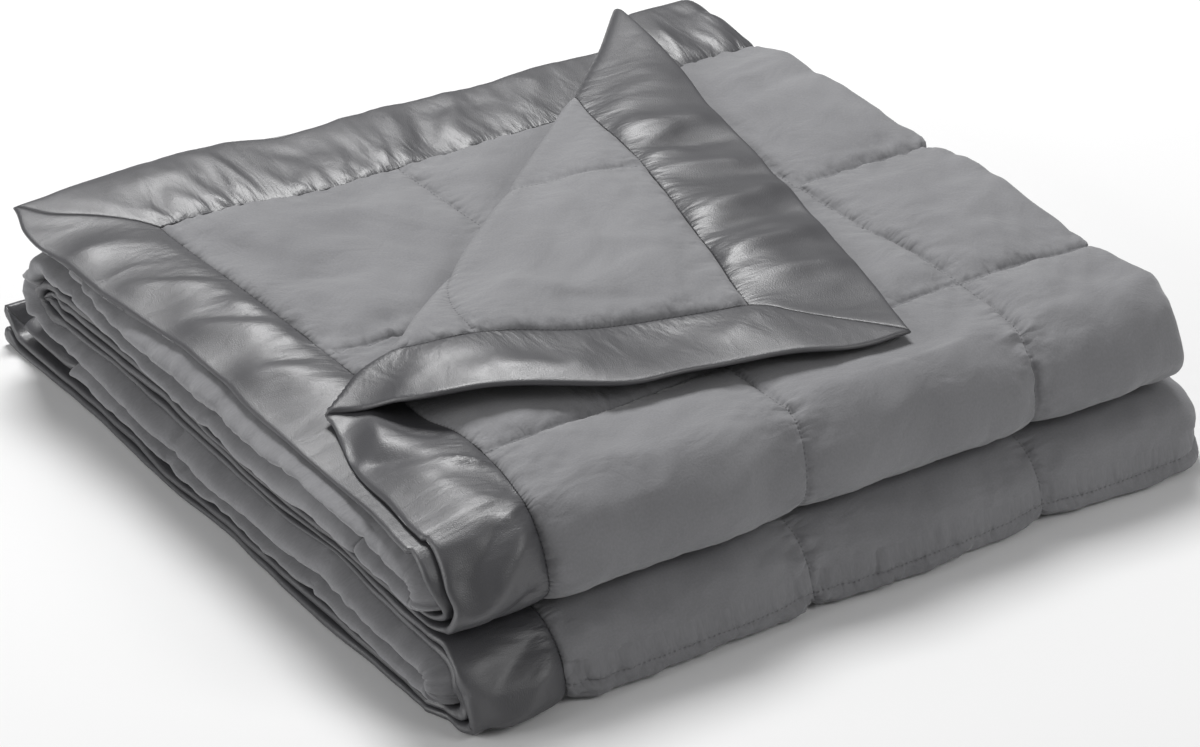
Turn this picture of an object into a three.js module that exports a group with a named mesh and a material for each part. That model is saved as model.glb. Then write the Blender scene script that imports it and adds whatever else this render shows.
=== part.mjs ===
// A box-quilted blanket with a satin binding, folded four layers by four and
// lying flat, with one top corner turned back. Millimetres, +Z up.
//
// The flat blanket is a square in coordinates (s, t), both 0 to BLANKET, and one
// folding map carries it into the stack, so every piece is a patch of that square:
//   1. s runs through four layers: top, round the right side to the bottom one,
//      round the left side, round the right side again and out to the left hem.
//   2. t runs through four panels of that packet: top, round the front, round the
//      back, round the front again and out to the lowest back hem.
//   3. heights are counted in layers first, and a table turns them into millimetres.
//   4. the corner at s = 0, t = 0 is turned back over a slanting fold line.
import * as THREE from 'three';

// The blanket as it is cut and sewn.
const BOXES = 12;
const BOX = 178.67;
const BORDER = 71;
const BLANKET = BOXES * BOX + 2 * BORDER;
const SEAM_GAP = 0.3;

// The folded stack, seen in plan: x from the left hems, u from the front fold.
const LEFT_ROLL_X = 10;
const RIGHT_FOLD_X = 536;
const UPPER_FRONT_U = 50;
const LOWER_FRONT_U = 36;
const BACK_FOLD_U = 508;
const BACK_HEM_U = 545;

// How far a fold stands out, for each layer that it goes round.
const UPPER_RIGHT_REACH = 9.5;
const LOWER_RIGHT_REACH = 14;
const ROLL_REACH = 17;
const FRONT_REACH = 9.6;
const BACK_REACH = 9.2;

// Angles, from its top, at which a fold's section has its corners.
const PANEL_ANGLES = [30, 60, 90, 120, 150];
const LOWER_ANGLES = [35, 70, 100, 125, 150];
const SIDE_ANGLES = [36, 72, 108, 144];
const ROLL_ANGLES = [45, 90, 135];

// Shape of a fold's section: 2 is round, more is squarer. The lowest fold's foot
// is pressed square on the floor, and both front folds lean out at their foot.
const ROUND = 2;
const PRESSED = 5;
const FRONT_LEAN = 0.22;

// Layers in one packet, the stack's layers, and a layer's half thickness as a
// share of its pitch: full, at a quilting seam and along the binding.
const PACKET = 4;
const FULL = 0.45;
const SEWN = 0.15;
const BOUND = 0.34;
const HEM_EDGE = 0.22;

// The weight on the lowest layer presses this much of it flat on the floor.
const PRESSED_FLAT = 0.5;

// Height of each panel in the middle of the stack, in millimetres, at distances
// from the front. The top layer has a pitch of its own.
const TOP_PITCH = 8.4;
const MIDDLE_PANELS = [
  { u: 72, fourth: 26, third: 26, second: 26, first: 31 },
  { u: 161, fourth: 28, third: 28, second: 28, first: 26 },
  { u: 340, fourth: 29, third: 29, second: 28, first: 23 },
  { u: 474, fourth: 29, third: 29, second: 28, first: 22 },
];

// Extra pitch of the top four layers at their loose back hems.
const BACK_HEM_RISE = 1.9;

// Crown of an open quilted box above its flat layer, in millimetres.
const TOP_CROWN = 6.5;
const SECOND_CROWN = 4.5;
const UPPER_FOLD_CROWN = 4.5;
const LOWER_FOLD_CROWN = 3;
const SIDE_CROWN = 2.5;
const BINDING_CROWN = 1.6;
const OPEN_BINDING_CROWN = 5;

// The turned corner: its fold line cuts these lengths off the two hems, and it
// bends round this radius.
const TURN_ALONG_S = 515;
const TURN_ALONG_T = 400;
const TURN_RADIUS = 9.5;
const TURN_STEPS = 5;

// Heights of the bands that show along the left side, in millimetres, at three
// distances from the front. A band is two layers, or one for the top two hems.
const LEFT_BANDS = [
  { u: 161, bottomHems: 14, rollD: 13, rollC: 21, hemsC: 8, hemsB: 13, rollB: 27, rollA: 9, hem2: 6.5, hem1: 7 },
  { u: 250, bottomHems: 13, rollD: 12, rollC: 21, hemsC: 12, hemsB: 9, rollB: 22, rollA: 20, hem2: 6, hem1: 7 },
  { u: 340, bottomHems: 12, rollD: 11, rollC: 22, hemsC: 16, hemsB: 12, rollB: 13, rollA: 23, hem2: 5.5, hem1: 7 },
];

// How far each free hem on the left stands out past x = 0 at those distances.
const LEFT_HEMS = [
  { u: 72, top: 2, second: 4, middle: -4, bottom: 2 },
  { u: 161, top: -3, second: 10, middle: -7, bottom: 6 },
  { u: 250, top: 2, second: 7, middle: -2, bottom: 3 },
  { u: 340, top: 4, second: -2, middle: -6, bottom: 7 },
  { u: 429, top: 6, second: 8, middle: -3, bottom: 5 },
  { u: 520, top: 8, second: 6, middle: 3, bottom: 9 },
];

// The left side's own heights hold up to EDGE_X and have died away at INNER_X.
const EDGE_X = 24;
const HALFWAY_X = BORDER;
const INNER_X = 134;

const clamp = (value, low, high) => Math.min(high, Math.max(low, value));
const mix = (a, b, share) => a + (b - a) * share;
const ramp = (value, from, to) => clamp((value - from) / (to - from), 0, 1);

// Value of one column of a table at distance u, held level past its ends.
function column(table, name, u) {
  if (u <= table[0].u) {
    return table[0][name];
  }
  for (let row = 1; row < table.length; row += 1) {
    if (u <= table[row].u) {
      const share = ramp(u, table[row - 1].u, table[row].u);
      return mix(table[row - 1][name], table[row][name], share);
    }
  }
  return table[table.length - 1][name];
}

// Stations in u that every panel shares: the seams across the stack and points
// a quarter of a box to each side of them.
const QUARTER = BOX / 4;
const SEAMS_U = [0, 1, 2].map((box) => BACK_HEM_U - BORDER - box * BOX);
const STATIONS_U = SEAMS_U.flatMap((u, box) => (box === 0 ? [u, u - QUARTER] : [u + QUARTER, u, u - QUARTER]));

// Sections of s: the four layers and the three folds that join them.
const RUN_X = RIGHT_FOLD_X;
const SIDE_TURN = 2 * (BLANKET / 4 - RUN_X);
const ROLL_TURN = 2 * LEFT_ROLL_X;
const LAYER_RUN = RIGHT_FOLD_X - LEFT_ROLL_X;
const TOP_END = RUN_X;
const FOURTH_START = TOP_END + SIDE_TURN;
const FOURTH_END = FOURTH_START + LAYER_RUN;
const THIRD_START = FOURTH_END + ROLL_TURN;
const THIRD_END = THIRD_START + LAYER_RUN;
const SECOND_START = BLANKET - RUN_X;

// Sections of t: the four panels and the three folds that join them.
const PANEL_1_END = BACK_HEM_U - UPPER_FRONT_U;
const PANEL_2_RUN = BACK_FOLD_U - UPPER_FRONT_U;
const PANEL_3_RUN = BACK_FOLD_U - LOWER_FRONT_U;
const PANEL_4_RUN = BACK_HEM_U - LOWER_FRONT_U;
const PANEL_TURN = (BLANKET - PANEL_1_END - PANEL_2_RUN - PANEL_3_RUN - PANEL_4_RUN) / 3;
const PANEL_2_START = PANEL_1_END + PANEL_TURN;
const PANEL_2_END = PANEL_2_START + PANEL_2_RUN;
const PANEL_3_START = PANEL_2_END + PANEL_TURN;
const PANEL_3_END = PANEL_3_START + PANEL_3_RUN;
const PANEL_4_START = PANEL_3_END + PANEL_TURN;

// Step 1. Where s lies in the packet: x, and w in layers from the packet's
// bottom. `out` is the offset from the middle of the cloth towards its face, and
// `reach` is how far the right folds stand out for each layer.
function acrossPacket(s, out, reach) {
  if (s <= TOP_END) {
    return { x: s, w: 3.5 + out };
  }
  if (s < FOURTH_START) {
    const angle = Math.PI * (0.5 - (s - TOP_END) / SIDE_TURN);
    const radius = 1.5 + out;
    return { x: RIGHT_FOLD_X + reach * radius * Math.cos(angle), w: 2 + radius * Math.sin(angle) };
  }
  if (s <= FOURTH_END) {
    return { x: RIGHT_FOLD_X - (s - FOURTH_START), w: 0.5 - out };
  }
  if (s < THIRD_START) {
    const angle = Math.PI * ((s - FOURTH_END) / ROLL_TURN - 0.5);
    const radius = 0.5 + out;
    return { x: LEFT_ROLL_X - ROLL_REACH * radius * Math.cos(angle), w: 1 + radius * Math.sin(angle) };
  }
  if (s <= THIRD_END) {
    return { x: LEFT_ROLL_X + (s - THIRD_START), w: 1.5 + out };
  }
  if (s < SECOND_START) {
    const angle = Math.PI * ((s - THIRD_END) / (SECOND_START - THIRD_END) - 0.5);
    const radius = 0.5 - out;
    return { x: RIGHT_FOLD_X + reach * radius * Math.cos(angle), w: 2 + radius * Math.sin(angle) };
  }
  return { x: BLANKET - s, w: 2.5 - out };
}

// Section of a fold at an angle from its top: its reach outwards and its rise,
// for a radius of one.
function foldSection(angle, shape, lean) {
  const rise = Math.abs(Math.cos(angle)) ** (2 / shape) * Math.sign(Math.cos(angle));
  return { reach: Math.sin(angle) ** (2 / shape) * (1 - lean * rise), rise };
}

// Step 2. Where t carries a point at height w of the packet: u, and the height
// in layers from the floor.
function alongStack(t, w) {
  if (t <= PANEL_1_END) {
    return { u: BACK_HEM_U - t, level: 3 * PACKET + w };
  }
  if (t < PANEL_2_START) {
    const { reach, rise } = foldSection(Math.PI * (t - PANEL_1_END) / PANEL_TURN, ROUND, FRONT_LEAN);
    return { u: UPPER_FRONT_U - FRONT_REACH * w * reach, level: 3 * PACKET + w * rise };
  }
  if (t <= PANEL_2_END) {
    return { u: UPPER_FRONT_U + t - PANEL_2_START, level: 3 * PACKET - w };
  }
  if (t < PANEL_3_START) {
    const { reach, rise } = foldSection(Math.PI * (t - PANEL_2_END) / PANEL_TURN, ROUND, 0);
    const radius = PACKET - w;
    return { u: BACK_FOLD_U + BACK_REACH * radius * reach, level: 2 * PACKET + radius * rise };
  }
  if (t <= PANEL_3_END) {
    return { u: BACK_FOLD_U - (t - PANEL_3_START), level: PACKET + w };
  }
  if (t < PANEL_4_START) {
    const angle = Math.PI * (t - PANEL_3_END) / PANEL_TURN;
    const { reach, rise } = foldSection(angle, angle > Math.PI / 2 ? PRESSED : ROUND, FRONT_LEAN);
    return { u: LOWER_FRONT_U - FRONT_REACH * w * reach, level: PACKET + w * rise };
  }
  return { u: LOWER_FRONT_U + t - PANEL_4_START, level: PACKET - w };
}

// Step 3. Pitch of every layer, from the floor up, in the middle of the stack
// and along its left side.
function middlePitch(u) {
  const panel = (name, layers) => Array.from({ length: layers }, () => column(MIDDLE_PANELS, name, u) / layers);
  return [...panel('fourth', PACKET), ...panel('third', PACKET), ...panel('second', PACKET), ...panel('first', PACKET - 1), TOP_PITCH];
}

function leftPitch(u) {
  const band = (name) => column(LEFT_BANDS, name, u) / 2;
  const pairs = ['bottomHems', 'rollD', 'rollC', 'hemsC', 'hemsB', 'rollB', 'rollA'];
  const layers = pairs.flatMap((name) => [band(name), band(name)]);
  return [...layers, column(LEFT_BANDS, 'hem2', u), column(LEFT_BANDS, 'hem1', u)];
}

function heightOf(level, x, u) {
  const alongSide = Math.min(ramp(u, SEAMS_U[2] - QUARTER, LEFT_BANDS[0].u), ramp(u, SEAMS_U[0], LEFT_BANDS[2].u));
  const nearEdge = x < HALFWAY_X ? mix(1, 0.5, ramp(x, EDGE_X, HALFWAY_X)) : mix(0.5, 0, ramp(x, HALFWAY_X, INNER_X));
  const share = alongSide * nearEdge;
  const middle = middlePitch(u);
  const side = share > 0 ? leftPitch(u) : middle;
  const rise = BACK_HEM_RISE * ramp(u, SEAMS_U[0], BACK_HEM_U);
  let height = 0;
  middle.forEach((pitch, layer) => {
    const top = layer === 15 ? Infinity : 1;
    const extra = layer < 3 * PACKET ? 0 : rise;
    height += (mix(pitch, side[layer], share) + extra) * clamp(level - layer, 0, top);
  });
  return Math.max(height - PRESSED_FLAT, 0);
}

// Name of the table column that holds a free hem's reach, by its layer and panel.
function hemName(s, t) {
  if (t <= PANEL_1_END) {
    return s < BLANKET / 2 ? 'top' : 'second';
  }
  return t >= PANEL_4_START ? 'bottom' : 'middle';
}

function hemReach(s, t, u) {
  const fromHem = Math.min(s, BLANKET - s);
  return -column(LEFT_HEMS, hemName(s, t), u) * (1 - ramp(fromHem, 0, BORDER));
}

// Step 4. Signed distance of a flat point past the slanting fold line, on the
// side of the turned corner, and the line's unit normal towards that corner.
const TURN_SLOPE = Math.hypot(1 / TURN_ALONG_S, 1 / TURN_ALONG_T);
const TURN_NORMAL = { x: -1 / (TURN_ALONG_S * TURN_SLOPE), u: 1 / (TURN_ALONG_T * TURN_SLOPE) };

function pastTurn(s, t) {
  return (1 - s / TURN_ALONG_S - t / TURN_ALONG_T) / TURN_SLOPE;
}

// Place of a flat point on one face of the cloth. `half` is its half thickness
// and `crown` the extra height of an open face, both as shares of a layer.
function fold(s, t, face, half, crown) {
  const out = face * (half + crown);
  const reach = mix(UPPER_RIGHT_REACH, LOWER_RIGHT_REACH, ramp(t, PANEL_2_END, PANEL_3_START));
  const packet = acrossPacket(s, out, reach);
  const { u, level } = alongStack(t, packet.w);
  const x = packet.x + hemReach(s, t, u);
  const past = s <= TOP_END && t <= PANEL_1_END ? pastTurn(s, t) : -1;
  if (past <= 0) {
    return new THREE.Vector3(x, u, heightOf(level, x, u));
  }
  const middle = heightOf(15.5, x, u);
  const offset = out * TOP_PITCH;
  const angle = Math.min(past / TURN_RADIUS, Math.PI);
  const beyond = past - angle * TURN_RADIUS;
  const shift = (TURN_RADIUS - offset) * Math.sin(angle) - beyond - past;
  const height = middle + TURN_RADIUS - (TURN_RADIUS - offset) * Math.cos(angle);
  return new THREE.Vector3(x + TURN_NORMAL.x * shift, u + TURN_NORMAL.u * shift, height);
}

// Distance from a flat coordinate to its nearest quilting seam.
function toSeam(flat) {
  const along = (flat - BORDER) / BOX;
  return Math.abs(along - Math.round(along)) * BOX;
}

// Distance along t to the nearest seam as it lies in the stack. Across the
// panels the seams keep to the shared stations.
const FRONT_SEAM_ANGLE = 150;
const LOWER_SEAM_ANGLE = 100;
const BACK_SEAM_ANGLE = 90;

function acrossSeams(t) {
  const { u } = alongStack(t, 0);
  const turned = (start, angle) => Math.abs(t - start - PANEL_TURN * angle / 180);
  const panels = [
    [0, PANEL_1_END], [PANEL_2_START, PANEL_2_END], [PANEL_3_START, PANEL_3_END], [PANEL_4_START, BLANKET],
  ];
  if (panels.some(([start, end]) => t >= start && t <= end)) {
    return Math.min(...SEAMS_U.map((seam) => Math.abs(u - seam)));
  }
  if (t < PANEL_2_START) {
    return turned(PANEL_1_END, FRONT_SEAM_ANGLE);
  }
  return t < PANEL_3_START ? turned(PANEL_2_END, BACK_SEAM_ANGLE) : turned(PANEL_3_END, LOWER_SEAM_ANGLE);
}

// How full the quilting is at a flat point, 0 on a seam and 1 in a box. Inside
// the stack the boxes are pressed full.
function fullness(s, t) {
  const rise = (distance) => Math.min(1, distance / (0.9 * QUARTER));
  const third = s > THIRD_START && s < THIRD_END;
  const fourth = s > FOURTH_START && s < FOURTH_END;
  const aroundBack = t > PANEL_2_END && t < PANEL_3_START;
  return third || (fourth && !aroundBack) ? 1 : rise(toSeam(s)) * rise(acrossSeams(t));
}

// Crown of the face that shows at a flat point, in millimetres. It dies away at
// the fold line of the turned corner, and where another layer lies on the face.
function openCrown(s, t, face) {
  const past = pastTurn(Math.min(s, BLANKET - s), t);
  if (t <= PANEL_1_END && s <= TOP_END) {
    return TOP_CROWN * (face > 0 ? ramp(-past, 0, QUARTER) : ramp(past - Math.PI * TURN_RADIUS, 0, QUARTER));
  }
  if (t <= PANEL_1_END && s >= SECOND_START) {
    return face < 0 ? SECOND_CROWN * ramp(past, 3 * TURN_RADIUS, 7 * TURN_RADIUS) : 0;
  }
  const turn = (start) => 180 * (t - start) / PANEL_TURN;
  if (face > 0 && s <= TOP_END && t > PANEL_1_END && t < PANEL_2_START) {
    return UPPER_FOLD_CROWN * (1 - ramp(turn(PANEL_1_END), 90, 145));
  }
  if (face > 0 && s <= TOP_END && t > PANEL_3_END && t < PANEL_4_START) {
    return LOWER_FOLD_CROWN * Math.min(ramp(turn(PANEL_3_END), 30, 75), 1 - ramp(turn(PANEL_3_END), 110, 150));
  }
  if (face > 0 && s > FOURTH_START && s < FOURTH_END && t > PANEL_2_END && t < PANEL_3_START) {
    return SIDE_CROWN * Math.sin(Math.PI * turn(PANEL_2_END) / 180);
  }
  if (face > 0 && s > TOP_END && s < FOURTH_START) {
    return SIDE_CROWN * Math.sin(Math.PI * (s - TOP_END) / SIDE_TURN);
  }
  return 0;
}

// Half thickness and crown of the quilted field, in layers.
function quilted(s, t, face) {
  const full = fullness(s, t);
  return { half: mix(SEWN, FULL, full), crown: full * openCrown(s, t, face) / TOP_PITCH };
}

// The same for the binding, whose three folds across its width are shared by
// all four strips: flat at the hem, fuller in the middle, drawn in at its seam.
function bound(s, t, face) {
  const fromHem = Math.min(s, t, BLANKET - s, BLANKET - t);
  const across = fromHem / BORDER;
  const half = across < 0.5 ? mix(HEM_EDGE, BOUND, across * 2) : mix(BOUND, SEWN, across * 2 - 1);
  const open = openCrown(s, t, face);
  const secondLayer = s >= SECOND_START && t <= PANEL_1_END;
  const height = secondLayer ? OPEN_BINDING_CROWN * open / SECOND_CROWN : Math.min(open, BINDING_CROWN);
  return { half, crown: height * (1 - Math.abs(across * 2 - 1)) / TOP_PITCH };
}

// A flat net of triangles on the blanket: points [s, t] and corner indices.
class FlatNet {
  constructor() {
    this.points = [];
    this.triangles = [];
  }

  // A grid of rows by columns of points, cut into triangles so that every layer
  // of the stack is cut along the same slant.
  static grid(pointAt, rows, columns) {
    const net = new FlatNet();
    for (let row = 0; row < rows; row += 1) {
      for (let col = 0; col < columns; col += 1) {
        net.points.push(pointAt(row, col));
      }
    }
    const index = (row, col) => row * columns + col;
    for (let row = 0; row + 1 < rows; row += 1) {
      for (let col = 0; col + 1 < columns; col += 1) {
        const [a, b, c, d] = [index(row, col), index(row, col + 1), index(row + 1, col + 1), index(row + 1, col)];
        const [s, t] = net.points[a].map((value, axis) => (value + net.points[c][axis]) / 2);
        if (runsRight(s) === runsBack(t)) {
          net.triangles.push([a, b, c], [a, c, d]);
        } else {
          net.triangles.push([a, b, d], [b, c, d]);
        }
      }
    }
    return net;
  }

  // Cut every triangle along the line where `distance` is zero.
  cut(distance) {
    const side = this.points.map(([s, t]) => {
      const value = distance(s, t);
      return Math.abs(value) < 0.05 ? 0 : value;
    });
    const added = new Map();
    const crossing = (a, b) => {
      const key = a < b ? `${a}_${b}` : `${b}_${a}`;
      if (!added.has(key)) {
        const share = side[a] / (side[a] - side[b]);
        added.set(key, this.points.length);
        this.points.push(this.points[a].map((value, axis) => mix(value, this.points[b][axis], share)));
      }
      return added.get(key);
    };
    const pieces = [];
    this.triangles.forEach((corners) => {
      const crossed = corners.filter((corner, place) => side[corner] * side[corners[(place + 1) % 3]] < 0).length;
      if (crossed === 0) {
        pieces.push(corners);
        return;
      }
      if (crossed === 1) {
        const place = corners.findIndex((corner) => side[corner] === 0);
        const [a, b, c] = [0, 1, 2].map((step) => corners[(place + step) % 3]);
        const middle = crossing(b, c);
        pieces.push([a, b, middle], [a, middle, c]);
        return;
      }
      const place = corners.findIndex((corner, at) => {
        return side[corner] * side[corners[(at + 1) % 3]] < 0 && side[corner] * side[corners[(at + 2) % 3]] < 0;
      });
      const [a, b, c] = [0, 1, 2].map((step) => corners[(place + step) % 3]);
      const [ab, ac] = [crossing(a, b), crossing(a, c)];
      pieces.push([a, ab, ac], [ab, b, c], [ab, c, ac]);
    });
    this.triangles = pieces;
  }

  // Close the net into a solid: the face, the back and a wall round its outline.
  solid(thickness) {
    const count = this.points.length;
    const place = (face) => this.points.map(([s, t]) => {
      const { half, crown } = thickness(s, t, face);
      return fold(s, t, face, half, crown);
    });
    const corners = [...place(1), ...place(-1)];
    const faces = [];
    const edges = new Set();
    this.triangles.forEach(([a, b, c]) => {
      faces.push([a, c, b], [a + count, b + count, c + count]);
      [[a, b], [b, c], [c, a]].forEach(([from, to]) => edges.add(`${from}_${to}`));
    });
    edges.forEach((edge) => {
      const [from, to] = edge.split('_').map(Number);
      if (!edges.has(`${to}_${from}`)) {
        const sum = (point) => this.points[point][0] + this.points[point][1];
        const slant = sum(from) < sum(to)
          ? [[from, to, to + count], [from, to + count, from + count]]
          : [[from, to, from + count], [to, to + count, from + count]];
        faces.push(...slant);
      }
    });
    return { corners, faces };
  }
}

// Whether s runs to the right, and t to the back, in the part of the stack there.
function runsRight(s) {
  return s < TOP_END || (s > THIRD_START && s < THIRD_END);
}

function runsBack(t) {
  return (t > PANEL_2_START && t < PANEL_2_END) || t > PANEL_4_START;
}

// Grid lines across the field. Layers that show have lines a quarter of a box
// from each seam, and hidden ones only those that the left side needs.
const FIELD_START = BORDER + SEAM_GAP / 2;
const SHOWN_X = [1, 2].flatMap((box) => {
  const seam = BORDER + box * BOX;
  return [seam - QUARTER, seam, seam + QUARTER];
});
const FOURTH_SEAMS_X = [2 * BOX + QUARTER, 2 * BOX, 2 * BOX - QUARTER, BOX + QUARTER, BOX];
const turnLines = (start, length, angles) => angles.map((angle) => start + length * angle / 180);

const toFourth = (x) => FOURTH_START + RIGHT_FOLD_X - x;
const LINES_S = [
  FIELD_START, INNER_X, ...SHOWN_X, TOP_END,
  ...turnLines(TOP_END, SIDE_TURN, SIDE_ANGLES),
  FOURTH_START, FOURTH_START + QUARTER, ...FOURTH_SEAMS_X.map(toFourth),
  ...[INNER_X, HALFWAY_X, EDGE_X, LEFT_ROLL_X].map(toFourth),
  ...turnLines(FOURTH_END, ROLL_TURN, ROLL_ANGLES),
  ...[LEFT_ROLL_X, EDGE_X, HALFWAY_X, INNER_X, RIGHT_FOLD_X].map((x) => THIRD_START + x - LEFT_ROLL_X),
  ...turnLines(THIRD_END, SECOND_START - THIRD_END, ROLL_ANGLES),
  SECOND_START, ...[...SHOWN_X].reverse().map((x) => BLANKET - x), BLANKET - INNER_X, BLANKET - FIELD_START,
];

const PANEL_STATIONS = STATIONS_U.slice(1);
const LINES_T = [
  FIELD_START, ...PANEL_STATIONS.map((u) => BACK_HEM_U - u), PANEL_1_END,
  ...turnLines(PANEL_1_END, PANEL_TURN, PANEL_ANGLES),
  PANEL_2_START, ...[...STATIONS_U].reverse().map((u) => PANEL_2_START + u - UPPER_FRONT_U), PANEL_2_END,
  ...turnLines(PANEL_2_END, PANEL_TURN, PANEL_ANGLES),
  PANEL_3_START, ...STATIONS_U.map((u) => PANEL_3_START + BACK_FOLD_U - u), PANEL_3_END,
  ...turnLines(PANEL_3_END, PANEL_TURN, LOWER_ANGLES),
  PANEL_4_START, ...[...PANEL_STATIONS].reverse().map((u) => PANEL_4_START + u - LOWER_FRONT_U), BLANKET - FIELD_START,
];

// Lines across a strip of binding, from the hem to its seam.
const ACROSS_BINDING = [0, EDGE_X, BORDER / 2 + EDGE_X / 2, BORDER - SEAM_GAP / 2];

// A strip's net: its lines run along the hem, and its ends are mitred.
function stripNet(lines, toFlat) {
  const mitre = SEAM_GAP / Math.SQRT2;
  const rows = [0, ...lines, BLANKET];
  return FlatNet.grid((row, col) => {
    const across = ACROSS_BINDING[col];
    const along = clamp(rows[row], across + mitre, BLANKET - across - mitre);
    return toFlat(across, along);
  }, rows.length, ACROSS_BINDING.length);
}

const turnLevels = Array.from({ length: TURN_STEPS }, (_, step) => step * Math.PI * TURN_RADIUS / (TURN_STEPS - 1));

function turnCorner(net) {
  turnLevels.forEach((level) => net.cut((s, t) => pastTurn(s, t) - level));
  return net;
}

const FABRIC = { name: 'brushed microfibre', color: 0x6f7073, roughness: 0.86, metalness: 0 };
const SATIN = { name: 'satin', color: 0x6b6c70, roughness: 0.42, metalness: 0 };

const pieces = [
  { name: 'quilted_field', finish: FABRIC, thickness: quilted, net: FlatNet.grid((row, col) => [LINES_S[col], LINES_T[row]], LINES_T.length, LINES_S.length) },
  { name: 'binding_top_left', finish: SATIN, thickness: bound, net: stripNet(LINES_T, (across, along) => [across, along]) },
  { name: 'binding_second_left', finish: SATIN, thickness: bound, net: stripNet(LINES_T, (across, along) => [BLANKET - across, along]) },
  { name: 'binding_top_back', finish: SATIN, thickness: bound, net: stripNet(LINES_S, (across, along) => [along, across]) },
  { name: 'binding_bottom_back', finish: SATIN, thickness: bound, net: stripNet(LINES_S, (across, along) => [along, BLANKET - across]) },
];

// Volume of a closed solid, negative when its faces look inward.
function volumeOf({ corners, faces }) {
  return faces.reduce((sum, [a, b, c]) => {
    return sum + corners[a].dot(new THREE.Vector3().crossVectors(corners[b], corners[c])) / 6;
  }, 0);
}

const solids = pieces.map(({ name, finish, thickness, net }) => {
  const solid = turnCorner(net).solid(thickness);
  if (volumeOf(solid) < 0) {
    solid.faces = solid.faces.map(([a, b, c]) => [a, c, b]);
  }
  return { name, finish, ...solid };
});

// The stack stands on the floor, centred on the vertical axis.
const bounds = new THREE.Box3();
solids.forEach(({ corners }) => corners.forEach((corner) => bounds.expandByPoint(corner)));
const centre = bounds.getCenter(new THREE.Vector3());
const origin = new THREE.Vector3(centre.x, centre.y, bounds.min.z);

const blanket = new THREE.Group();
solids.forEach(({ name, finish, corners, faces }) => {
  const geometry = new THREE.BufferGeometry();
  const positions = corners.flatMap((corner) => corner.clone().sub(origin).toArray());
  geometry.setAttribute('position', new THREE.Float32BufferAttribute(positions, 3));
  geometry.setIndex(faces.flat());
  geometry.computeVertexNormals();
  const mesh = new THREE.Mesh(geometry, new THREE.MeshStandardMaterial(finish));
  mesh.name = name;
  blanket.add(mesh);
});

export default blanket;
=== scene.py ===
"""A box-quilted blanket with a satin binding, folded four layers by four and lying flat.

The blanket is cut as a square in flat coordinates (s, t), in millimetres. One folding map
carries every flat point into the stack, so each piece is a patch of that square and the
layers can't meet. Inside the stack x runs from the left hems to the right folds, u from the
front folds to the back hems, and heights are counted in layers before they become
millimetres. The corner at s = 0, t = 0 lies on top and is turned back over a slanting fold
line. Slips, creases, puckers and crumpled ends stand in fields and short tables, all in
millimetres of the flat cloth or of the stack.
"""
import logging
import math
from collections.abc import Callable
from dataclasses import dataclass, field
from enum import Enum

import bpy
import numpy as np
from mathutils import Matrix, Vector


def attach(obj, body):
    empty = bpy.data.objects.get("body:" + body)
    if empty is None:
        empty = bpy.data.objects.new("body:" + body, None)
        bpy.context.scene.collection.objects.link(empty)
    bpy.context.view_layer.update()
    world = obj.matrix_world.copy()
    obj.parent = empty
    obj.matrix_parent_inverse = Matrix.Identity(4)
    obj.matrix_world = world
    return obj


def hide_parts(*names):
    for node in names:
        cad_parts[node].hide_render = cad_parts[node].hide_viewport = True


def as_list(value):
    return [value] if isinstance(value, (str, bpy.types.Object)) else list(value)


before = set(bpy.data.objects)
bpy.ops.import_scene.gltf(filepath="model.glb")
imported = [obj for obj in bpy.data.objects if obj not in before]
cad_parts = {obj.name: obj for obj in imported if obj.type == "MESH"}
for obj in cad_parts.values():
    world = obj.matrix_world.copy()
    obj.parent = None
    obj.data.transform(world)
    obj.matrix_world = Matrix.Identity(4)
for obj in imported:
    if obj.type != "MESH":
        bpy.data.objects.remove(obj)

LOG = logging.getLogger("blanket")

Array = np.ndarray
Number = Array | float
Point = tuple[float, float, float]
Distances = tuple[Array, Array, Array]

MILLIMETRE = 0.001
# Middle of the stack's plan in millimetres, which the frame puts on its vertical axis.
STACK_CENTRE = (277.86, 269.48)
# Factors with no common measure, for a column, a row, a seed and their sum's sine.
SCATTER = (127.1, 311.7, 74.7, 43758.5453)
# A line from before the front folds to past the back hems, and its step.
SIDE_LINE = (-100.0, 701.0, 4.0)
# Weight of the cloth that keeps to the even fold, beside slips whose weight is one.
EVEN_WEIGHT = 0.08


def ramp(value: Number, low: float, high: float) -> Array:
    """Share of the way from low to high, held at 0 and 1 past them."""
    return np.clip((np.asarray(value, float) - low) / (high - low), 0.0, 1.0)


def ease(value: Number, low: float, high: float) -> Array:
    """The same share with a soft start and end: three squares less two cubes."""
    share = ramp(value, low, high)
    return share * share * (3.0 - 2.0 * share)


def mix(first: Number, second: Number, share: Number) -> Array:
    """First at share 0, second at share 1, and a straight line between."""
    return first + (second - first) * share


def growing(distance: Array, over: float) -> Array:
    """Nought at a line and close to one a few times the length away: one less e to the minus."""
    return 1.0 - np.exp(-distance / over)


def fading(distance: Array, over: float) -> Array:
    """One at a line and close to nought a few times the length away: e to the minus."""
    return np.exp(-distance / over)


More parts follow.
